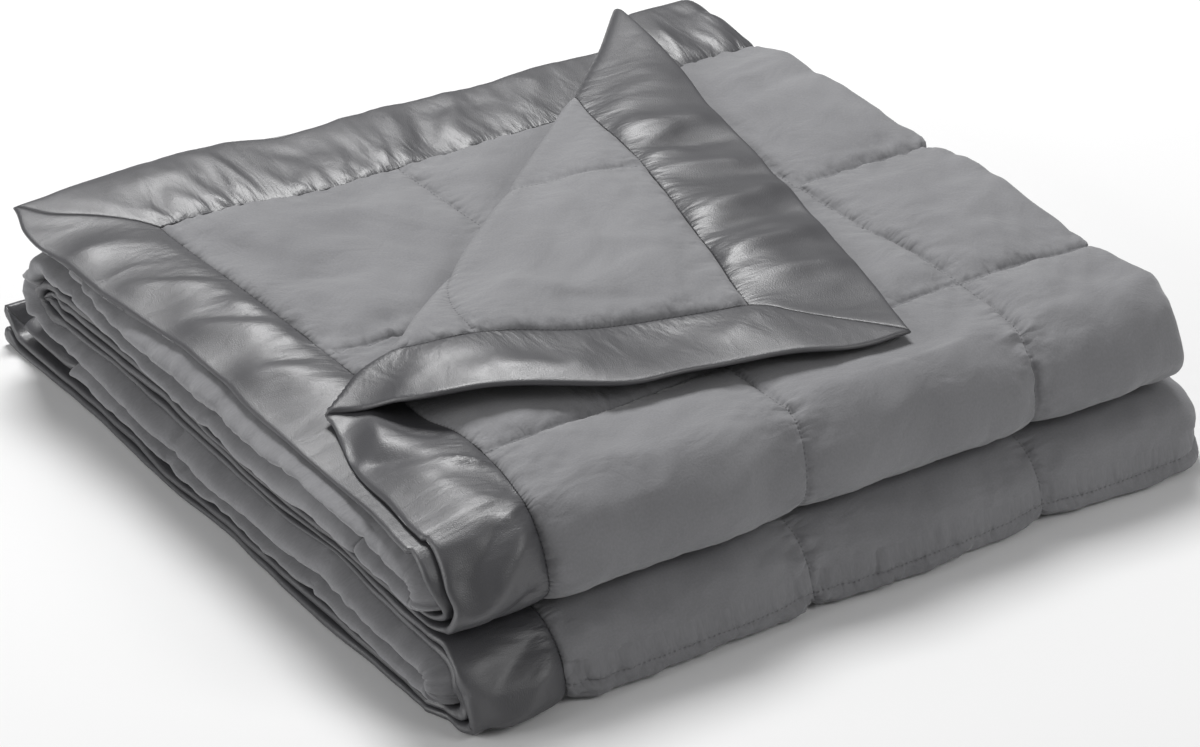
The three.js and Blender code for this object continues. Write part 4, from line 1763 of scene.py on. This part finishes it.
@dataclass(frozen=True)
class FieldPart:
    """One stretch of the quilted field, which ends where other layers hide its ends."""

    name: str
    s_from: float
    s_to: float
    t_from: float
    t_to: float


@dataclass
class QuiltedField:
    """The quilted field: two faces of brushed cloth sewn through in square boxes.

    Its spacings, in millimetres, are fine where the cloth shows and coarse inside the stack.
    """

    stack: Stack
    quilting: Quilting
    fine: float = 3.3
    medium: float = 3.8
    middling: float = 8.0
    coarse: float = 42.0
    side_turn: float = 3.6
    roll_turn: float = 1.5
    front_turn: float = 2.6
    back_turn: float = 5.0
    inside_rows: float = 7.0
    beside_roll: float = 64.0
    second_shown: float = 400.0
    second_hidden: float = 100.0
    parted_below: float = 60.0

    def parts(self) -> tuple[FieldPart, ...]:
        """The upper bundle's top and second layer, and the rest, parted inside the stack.

        Returns:
            The three parts.
        """
        stack = self.stack
        inside = (stack.s_ends[3] + stack.s_ends[4]) / 2.0
        below = stack.t_ends[1] + self.parted_below
        gap = stack.blanket.seam_gap / 2.0
        side = stack.blanket.side
        return (
            FieldPart("field_top_cloth", 0.0, inside - gap, 0.0, below - gap),
            FieldPart("field_second_cloth", inside + gap, side, 0.0, below - gap),
            FieldPart("field_lower_cloth", 0.0, side, below + gap, side),
        )

    def columns(self, top: float, back: float, second: float, second_shown: float) -> Array:
        """Lines in s for one band of rows.

        Args:
            top: Spacing across the top layer.
            back: Spacing across the fourth layer, which shows at the back.
            second: Spacing across the second layer, from its border inwards.
            second_shown: How far in from the hem the second layer has that spacing.

        Returns:
            The lines in order.
        """
        blanket = self.stack.blanket
        s_top, fourth_0, fourth_1, third_0, third_1, second_0 = self.stack.s_ends
        start = blanket.border + blanket.seam_gap / 2.0
        stop = blanket.side - start
        shown = blanket.side - second_shown
        near = self.beside_roll
        seams = tuple(blanket.border + blanket.box * number for number in range(1, blanket.boxes))
        runs = (
            (s_top, top),
            (fourth_0, self.side_turn),
            (fourth_1 - near, back),
            (fourth_1, self.middling),
            (third_0, self.roll_turn),
            (third_0 + near, self.middling),
            (third_1, self.coarse),
            (second_0, self.middling),
            (shown, self.coarse),
            (stop, second),
        )
        hidden_runs = (fourth_1, third_0, third_0 + near, second_0)
        parts = []
        for end, step in runs:
            with_seams = step <= self.middling and end not in hidden_runs
            parts.append(lines(start, end, step, seams if with_seams else ())[:-1])
            start = end
        return np.concatenate([*parts, [stop]])

    def net(self, part: FieldPart) -> Net:
        """The flat net of one part, with fine rows and columns only where the cloth shows.

        Args:
            part: The stretch of the field.

        Returns:
            The net.
        """
        stack, quilting = self.stack, self.quilting
        blanket = stack.blanket
        first, second_0, second_1, third_0, third_1, fourth_0 = stack.t_ends
        start = blanket.border + blanket.seam_gap / 2.0
        degree = stack.panel_turn / 180.0
        seams = np.array(stack.seams_u)
        coarse, hidden = self.coarse, self.second_hidden
        shown = self.columns(self.fine, coarse, self.medium, self.second_shown)
        nose = self.columns(self.fine, coarse, coarse, hidden)
        inside = self.columns(coarse, coarse, coarse, hidden)
        behind = self.columns(coarse, self.middling, coarse, hidden)
        bands = (
            (shown, first, self.fine, stack.back_hem_u - seams),
            (nose, second_0, self.front_turn, [first + degree * quilting.front_seam_angle]),
            (inside, second_1, self.inside_rows, second_0 + seams - stack.upper_front_u),
            (behind, third_0, self.back_turn, [second_1 + degree * quilting.back_seam_angle]),
            (inside, third_1, self.inside_rows, third_0 + stack.back_fold_u - seams),
            (nose, fourth_0, self.front_turn, [third_1 + degree * quilting.lower_seam_angle]),
            (inside, blanket.side - start, self.inside_rows, fourth_0 + seams - stack.lower_front_u),
        )
        net = Net()
        for columns, end, step, seam_rows in bands:
            rows = lines(start, end, step, tuple(seam_rows))
            start = end
            if rows[-1] <= part.t_from or rows[0] >= part.t_to:
                continue
            rows = clipped(rows, part.t_from, part.t_to)
            rows = rows if net.last_row is None else rows[1:]
            net.add_band(*np.meshgrid(clipped(columns, part.s_from, part.s_to), rows))
        return net

    def seam_distances(self, s: Array, t: Array) -> Distances:
        """Distances to the nearest seam that runs along t and along s, and nought.

        Args:
            s: Flat place across.
            t: Flat place along.

        Returns:
            The three distances.
        """
        return self.stack.blanket.to_seam(s), self.quilting.cross_seam(s, t), np.zeros(s.shape)

    def build(self, material: bpy.types.Material) -> list[bpy.types.Object]:
        """Make the field's parts.

        Args:
            material: The finish of the cloth.

        Returns:
            The finished objects.
        """
        pieces = [ClothPiece(part.name, self.net(part), self.stack) for part in self.parts()]
        return [piece.build(self.quilting.field, material, self.seam_distances) for piece in pieces]


class Hem(Enum):
    """The four hems of the blanket, by the node of the strip on each."""

    TOP_LEFT = "binding_top_left"
    SECOND_LEFT = "binding_second_left"
    TOP_BACK = "binding_top_back"
    BOTTOM_BACK = "binding_bottom_back"

    @property
    def is_left(self) -> bool:
        """Whether the hem lies on the left of the stack and runs along t."""
        return self in (Hem.TOP_LEFT, Hem.SECOND_LEFT)


@dataclass
class BindingStrip:
    """One strip of satin folded over a hem, with mitred ends.

    The spacings are in millimetres, and the lines across it close up at the hem and the seam.
    """

    hem: Hem
    stack: Stack
    quilting: Quilting
    fine: float = 2.8
    side_turn: float = 4.5
    roll_turn: float = 2.0
    back_turn: float = 3.4
    inside: float = 5.2
    mitre_over: float = 150.0
    across: tuple[float, ...] = (
        0, 0.5, 1.4, 2.8, 4.8, 7.5, 11, 15, 19.5, 24, 28.5, 33,
        37.5, 42, 46.5, 51, 55, 59, 62.5, 65.5, 68, 69.8, 70.85,
    )

    def along(self) -> Array:
        """Lines along the strip, closer together round the folds.

        Returns:
            The lines in order.
        """
        if self.hem.is_left:
            ends = self.stack.t_ends
            steps = (self.fine, self.fine, self.inside, self.back_turn, self.inside, self.fine, self.fine)
        else:
            ends = self.stack.s_ends
            turns = self.side_turn, self.roll_turn, self.back_turn
            steps = (self.fine, turns[0], self.inside, turns[1], self.inside, turns[2], self.fine)
        places = (0.0, *ends, self.stack.blanket.side)
        parts = [lines(*run)[:-1] for run in zip(places[:-1], places[1:], steps)]
        return np.concatenate([*parts, [places[-1]]])

    def net(self) -> Net:
        """The strip's net: its rows run along the hem and close up towards the mitres.

        Returns:
            The net.
        """
        side = self.stack.blanket.side
        mitre = self.stack.blanket.seam_gap / math.sqrt(2.0)
        across, along = np.meshgrid(np.array(self.across, float), self.along())
        inset = across + mitre
        head = inset * (1.0 - ramp(along, 0.0, self.mitre_over))
        foot = inset * (1.0 - ramp(side - along, 0.0, self.mitre_over))
        along = along + head - foot
        s, t = {
            Hem.TOP_LEFT: (across, along),
            Hem.SECOND_LEFT: (side - across, along),
            Hem.TOP_BACK: (along, across),
            Hem.BOTTOM_BACK: (along, side - across),
        }[self.hem]
        if self.hem in (Hem.SECOND_LEFT, Hem.TOP_BACK):
            s, t = s[:, ::-1], t[:, ::-1]
        net = Net()
        net.add_band(s, t)
        return net

    def seam_distances(self, s: Array, t: Array) -> Distances:
        """Distance to the strip's own seam, to its hem, and along the strip.

        Args:
            s: Flat place across.
            t: Flat place along.

        Returns:
            The three distances.
        """
        side, width = self.stack.blanket.side, self.stack.blanket.border
        from_hem = np.minimum(np.minimum(s, side - s), np.minimum(t, side - t))
        return width - from_hem, from_hem, t if self.hem.is_left else s

    def build(self, material: bpy.types.Material) -> bpy.types.Object:
        """Make the strip.

        Args:
            material: The finish of the satin.

        Returns:
            The finished object.
        """
        piece = ClothPiece(self.hem.value + "_satin", self.net(), self.stack)
        return piece.build(self.quilting.border, material, self.seam_distances)


class Graph:
    """The nodes of one material."""

    def __init__(self, name: str) -> None:
        """Start an empty material with a surface shader.

        Args:
            name: Name of the material.
        """
        self.material = bpy.data.materials.new(name)
        self.material.use_nodes = True
        self.tree = self.material.node_tree
        self.tree.nodes.clear()
        output = self.tree.nodes.new("ShaderNodeOutputMaterial")
        self.shader = self.tree.nodes.new("ShaderNodeBsdfPrincipled")
        self.tree.links.new(self.shader.outputs["BSDF"], output.inputs["Surface"])

    def node(self, kind: str, settings: dict | None = None, inputs: dict | None = None) -> bpy.types.Node:
        """Add a node.

        Args:
            kind: Blender's name of the node's type.
            settings: Its properties, which are set first.
            inputs: Values or links of its sockets, by name or number.

        Returns:
            The node.
        """
        node = self.tree.nodes.new(kind)
        for name, value in (settings or {}).items():
            setattr(node, name, value)
        self.feed(node, inputs or {})
        return node

    def feed(self, node: bpy.types.Node, inputs: dict) -> None:
        """Give a node's sockets values or links. A colour of three numbers gets a full alpha.

        Args:
            node: The node.
            inputs: Values or links, by name or number of the socket.
        """
        for name, value in inputs.items():
            socket = node.inputs[name]
            if isinstance(value, (Value, bpy.types.NodeSocket)):
                self.tree.links.new(getattr(value, "socket", value), socket)
            else:
                socket.default_value = (*value, 1.0) if isinstance(value, tuple) else value

    def finish(
        self, colour: "Feed", roughness: float, settings: dict, height: "Value | None" = None
    ) -> bpy.types.Material:
        """Feed the surface shader.

        Args:
            colour: The base colour, or the socket that gives it.
            roughness: The shader's roughness.
            settings: Values of its other sockets, by name.
            height: Relief in millimetres, which becomes a bump.

        Returns:
            The finished material.
        """
        self.feed(self.shader, {"Base Color": colour, "Roughness": roughness, **settings})
        if height is not None:
            inputs = {"Height": height, "Distance": MILLIMETRE, "Strength": 1.0}
            bump = self.node("ShaderNodeBump", inputs=inputs)
            self.feed(self.shader, {"Normal": bump.outputs[0]})
        return self.material

    def attribute(self, name: str) -> tuple["Value", "Value", "Value"]:
        """The three distances of a mesh attribute, in millimetres.

        Args:
            name: Name of the attribute.

        Returns:
            The three values.
        """
        source = self.node("ShaderNodeAttribute", {"attribute_name": name, "attribute_type": "GEOMETRY"})
        split = self.node("ShaderNodeSeparateXYZ", inputs={0: source.outputs["Vector"]})
        return tuple(Value(self, output) * 1000.0 for output in split.outputs)

    def noise(
        self, x: "Value", y: "Value", z: float = 0.0, detail: float = 2.0, distortion: float = 0.0
    ) -> "Value":
        """Noise of about -1 to 1, one wave to each whole number.

        Args:
            x: First parameter.
            y: Second parameter.
            z: Third one, which picks another pattern.
            detail: Number of finer layers of noise.
            distortion: How much the pattern is bent.

        Returns:
            The noise.
        """
        place = self.node("ShaderNodeCombineXYZ", inputs={0: x, 1: y, 2: z}).outputs[0]
        inputs = {"Vector": place, "Scale": 1.0, "Detail": detail, "Distortion": distortion}
        source = self.node("ShaderNodeTexNoise", {"noise_dimensions": "3D"}, inputs)
        return (Value(self, source.outputs[0]) - 0.5) * 3.0

    def mix_colours(self, share: "Value", first: "Feed", second: "Feed") -> bpy.types.NodeSocket:
        """A colour between two."""
        node = self.node("ShaderNodeMix", {"data_type": "RGBA"}, {0: share, 6: first, 7: second})
        return node.outputs[2]


class Value:
    """A number in a shader, which takes part in Python's own arithmetic."""

    def __init__(self, graph: Graph, socket: bpy.types.NodeSocket) -> None:
        """Wrap a socket."""
        self.graph = graph
        self.socket = socket

    def math(self, operation: str, *others: "Value | float") -> "Value":
        """Add one Math node."""
        inputs = dict(enumerate((self, *others)))
        node = self.graph.node("ShaderNodeMath", {"operation": operation}, inputs)
        return Value(self.graph, node.outputs[0])

    def __add__(self, other: "Value | float") -> "Value":
        """Sum."""
        return self.math("ADD", other)

    def __sub__(self, other: "Value | float") -> "Value":
        """Difference."""
        return self.math("SUBTRACT", other)

    def __mul__(self, other: "Value | float") -> "Value":
        """Product."""
        return self.math("MULTIPLY", other)

    def __truediv__(self, other: "Value | float") -> "Value":
        """Quotient."""
        return self.math("DIVIDE", other)

    def __abs__(self) -> "Value":
        """Size without its sign."""
        return self.math("ABSOLUTE")

    def fading(self, length: float) -> "Value":
        """One at nought, and less and less over a length: e to the minus value over length."""
        return (self * (-1.0 / length)).math("EXPONENT")

    def wave(self, length: float) -> "Value":
        """Sine with a given wavelength."""
        return (self * (2.0 * math.pi / length)).math("SINE")

    def stitched(self, to_seam: "Value", pitch: float, width: float) -> "Value":
        """Stitches of a pitch along a seam, from 0 between them to 1, that keep close to the seam."""
        return (self.wave(pitch) + 1.0) * 0.5 * (to_seam * to_seam).fading(width)

    def between(self, low: float, high: float) -> "Value":
        """Share of the way from low to high, with soft ends.

        Args:
            low: Where it is nought.
            high: Where it is one.

        Returns:
            The share.
        """
        inputs = {"Value": self, "From Min": low, "From Max": high}
        node = self.graph.node("ShaderNodeMapRange", {"interpolation_type": "SMOOTHSTEP"}, inputs)
        return Value(self.graph, node.outputs[0])


Feed = Value | bpy.types.NodeSocket | Point


@dataclass(frozen=True)
class BrushedMicrofibre:
    """Matte brushed cloth, puckered beside its seams, with a sandy nap.

    Heights are in millimetres, and colours are linear.
    """

    dark: Point = (0.205, 0.205, 0.214)
    light: Point = (0.262, 0.262, 0.272)
    thread: Point = (0.11, 0.11, 0.118)
    roughness: float = 0.86
    sheen: float = 0.22
    sheen_roughness: float = 0.45
    specular: float = 0.25
    pucker: float = 1.3
    broad_pucker: float = 1.56
    slack: float = 0.8
    nap: float = 0.06
    stitch: float = 0.35
    stitch_pitch: float = 3.6
    thread_share: float = 0.6

    def material(self) -> bpy.types.Material:
        """Make the finish.

        Returns:
            The material.
        """
        graph = Graph("brushed_microfibre")
        s, t, _ = graph.attribute("cloth")
        to_s, to_t, _ = graph.attribute("seams")
        fine_s = abs(graph.noise(t / 7.0, s / 14.0, detail=0.0)) * to_s.fading(7.0)
        fine_t = abs(graph.noise(s / 7.0, t / 14.0, 4.0, detail=0.0)) * to_t.fading(7.0)
        broad_s = graph.noise(t / 16.0, s / 28.0, 8.0, detail=1.0, distortion=0.5) * to_s.fading(20.0)
        broad_t = graph.noise(s / 16.0, t / 28.0, 12.0, detail=1.0, distortion=0.5) * to_t.fading(20.0)
        slack = graph.noise(s / 36.0, t / 36.0, 3.0, detail=4.0, distortion=0.8)
        nap = graph.noise(s / 1.2, t / 1.2, detail=1.0)
        stitches = t.stitched(to_s, self.stitch_pitch, 0.5) + s.stitched(to_t, self.stitch_pitch, 0.5)
        height = (fine_s + fine_t) * self.pucker + (broad_s + broad_t) * self.broad_pucker
        height = height + slack * self.slack + nap * self.nap + stitches * self.stitch
        cloud = graph.noise(s / 90.0, t / 90.0, 6.0, detail=4.0)
        grain = graph.noise(s / 1.5, t / 1.5, 9.0, detail=1.0)
        tone = (cloud * 0.25 + grain * 0.12 + 0.5).between(0.2, 0.8)
        cloth = graph.mix_colours(tone, self.dark, self.light)
        sewn = stitches.between(0.25, 0.9) * self.thread_share
        settings = {
            "Sheen Weight": self.sheen,
            "Sheen Roughness": self.sheen_roughness,
            "Specular IOR Level": self.specular,
        }
        return graph.finish(graph.mix_colours(sewn, cloth, self.thread), self.roughness, settings, height)


@dataclass(frozen=True)
class Satin:
    """Smooth satin with a soft gloss, gathered along its seam.

    Heights are in millimetres, and colours are linear.
    """

    dark: Point = (0.056, 0.056, 0.061)
    light: Point = (0.072, 0.072, 0.078)
    roughness: float = 0.45
    specular: float = 0.95
    gloss: float = 0.06
    gloss_roughness: float = 0.24
    gather: float = 0.6
    fold: float = 0.42
    grain: float = 0.065
    stitch: float = 0.3
    stitch_pitch: float = 3.4

    def material(self) -> bpy.types.Material:
        """Make the finish.

        Returns:
            The material.
        """
        graph = Graph("satin")
        s, t, _ = graph.attribute("cloth")
        to_seam, _, along = graph.attribute("seams")
        gathers = graph.noise(along / 6.0, to_seam / 20.0, distortion=0.4) * to_seam.fading(12.0)
        folds = graph.noise(along / 15.0, to_seam / 34.0, 5.0, distortion=0.6) * to_seam.fading(70.0)
        grain = graph.noise(s / 0.8, t / 0.8, detail=1.0)
        stitches = along.stitched(to_seam, self.stitch_pitch, 0.8)
        height = gathers * self.gather + folds * self.fold + grain * self.grain + stitches * self.stitch
        cloud = graph.noise(s / 60.0, t / 60.0, 6.0, detail=3.0)
        colour = graph.mix_colours((cloud * 0.35 + 0.5).between(0.2, 0.8), self.dark, self.light)
        settings = {
            "Specular IOR Level": self.specular,
            "Coat Weight": self.gloss,
            "Coat Roughness": self.gloss_roughness,
        }
        return graph.finish(colour, self.roughness, settings, height)


@dataclass(frozen=True)
class PaleFloor:
    """A plain pale floor."""

    half_side: float = 6.0
    tone: float = 0.88
    roughness: float = 0.9
    specular: float = 0.1

    def build(self) -> None:
        """Make the floor."""
        corners = np.array([[-1, -1, 0], [1, -1, 0], [1, 1, 0], [-1, 1, 0]], float) * self.half_side
        mesh = bpy.data.meshes.new("pale_floor")
        mesh.from_pydata(corners.tolist(), [], [[0, 1, 2, 3]])
        colour = (self.tone, self.tone, self.tone)
        settings = {"Specular IOR Level": self.specular}
        mesh.materials.append(Graph("pale_floor").finish(colour, self.roughness, settings))
        floor = add_object("pale_floor", mesh)


@dataclass(frozen=True)
class Softbox:
    """A square area light that looks at a point."""

    name: str
    place: Point
    aim: Point
    size: float
    power: float

    def build(self) -> None:
        """Make the light."""
        light = bpy.data.lights.new(self.name, "AREA")
        light.shape = "SQUARE"
        light.size = self.size
        light.energy = self.power
        lamp = add_object(self.name, light)
        lamp.location = self.place
        lamp.rotation_euler = (Vector(self.aim) - Vector(self.place)).to_track_quat("-Z", "Y").to_euler()


@dataclass(frozen=True)
class Studio:
    """Soft light from above, a pale surround, and the camera at the photograph's angle."""

    camera_place: Point = (-1.26516, -1.88478, 1.3408)
    view: Point = (0.48215, 0.71862, -0.50121)
    lens: float = 120.0
    sensor_width: float = 36.0
    clip_end: float = 50.0
    surround: float = 0.17
    lights: tuple[Softbox, ...] = (
        Softbox("key", (0.47, 1.21, 2.25), (0.0, 0.0, 0.05), 0.95, 60.0),
        Softbox("left", (-2.25, 0.35, 0.9), (0.0, 0.0, 0.05), 1.4, 22.0),
        Softbox("front", (1.0, -1.7, 1.5), (0.15, -0.25, 0.05), 0.9, 12.0),
    )
    floor: PaleFloor = PaleFloor()

    def build(self) -> None:
        """Make the lights, the surround, the floor and the camera."""
        scene = bpy.context.scene
        scene.view_settings.view_transform = "Standard"
        world = bpy.data.worlds.new("surround")
        world.use_nodes = True
        background = world.node_tree.nodes["Background"]
        background.inputs["Color"].default_value = (1.0, 1.0, 1.0, 1.0)
        background.inputs["Strength"].default_value = self.surround
        scene.world = world
        for light in self.lights:
            light.build()
        self.floor.build()
        scene.camera = self.build_camera()

    def build_camera(self) -> bpy.types.Object:
        """Make the camera: level, with its right side across the view and no shift.

        Returns:
            The camera.
        """
        forward = Vector(self.view).normalized()
        right = forward.cross(Vector((0.0, 0.0, 1.0))).normalized()
        data = bpy.data.cameras.new("camera")
        data.lens = self.lens
        data.sensor_width = self.sensor_width
        data.clip_end = self.clip_end
        camera = add_object("camera", data)
        turn = Matrix((right, right.cross(forward), -forward)).transposed()
        camera.matrix_world = Matrix.Translation(self.camera_place) @ turn.to_4x4()
        return camera


def report(piece: bpy.types.Object) -> None:
    """Log a piece's name and its count of triangles."""
    sizes = np.zeros(len(piece.data.polygons), np.int32)
    piece.data.polygons.foreach_get("loop_total", sizes)
    LOG.info("%s: %d triangles", piece.name, int((sizes - 2).sum()))


def main() -> None:
    """Build the blanket's pieces in order, then the studio."""
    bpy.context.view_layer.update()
    stack = Stack()
    quilting = Quilting(stack)
    width, side = stack.blanket.border * MILLIMETRE, stack.blanket.side * MILLIMETRE
    field_cloths = QuiltedField(stack, quilting).build(BrushedMicrofibre().material())
    for cloth in field_cloths:
        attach(cloth, "root")
        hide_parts("quilted_field")
        report(cloth)
    satin = Satin().material()
    for hem in Hem:
        strip = BindingStrip(hem, stack, quilting).build(satin)
        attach(strip, "root")
        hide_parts(hem.value)
        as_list(field_cloths)
        report(strip)
    Studio().build()


if __name__ == "__main__":
    logging.basicConfig(level=logging.INFO, format="%(message)s")
    main()
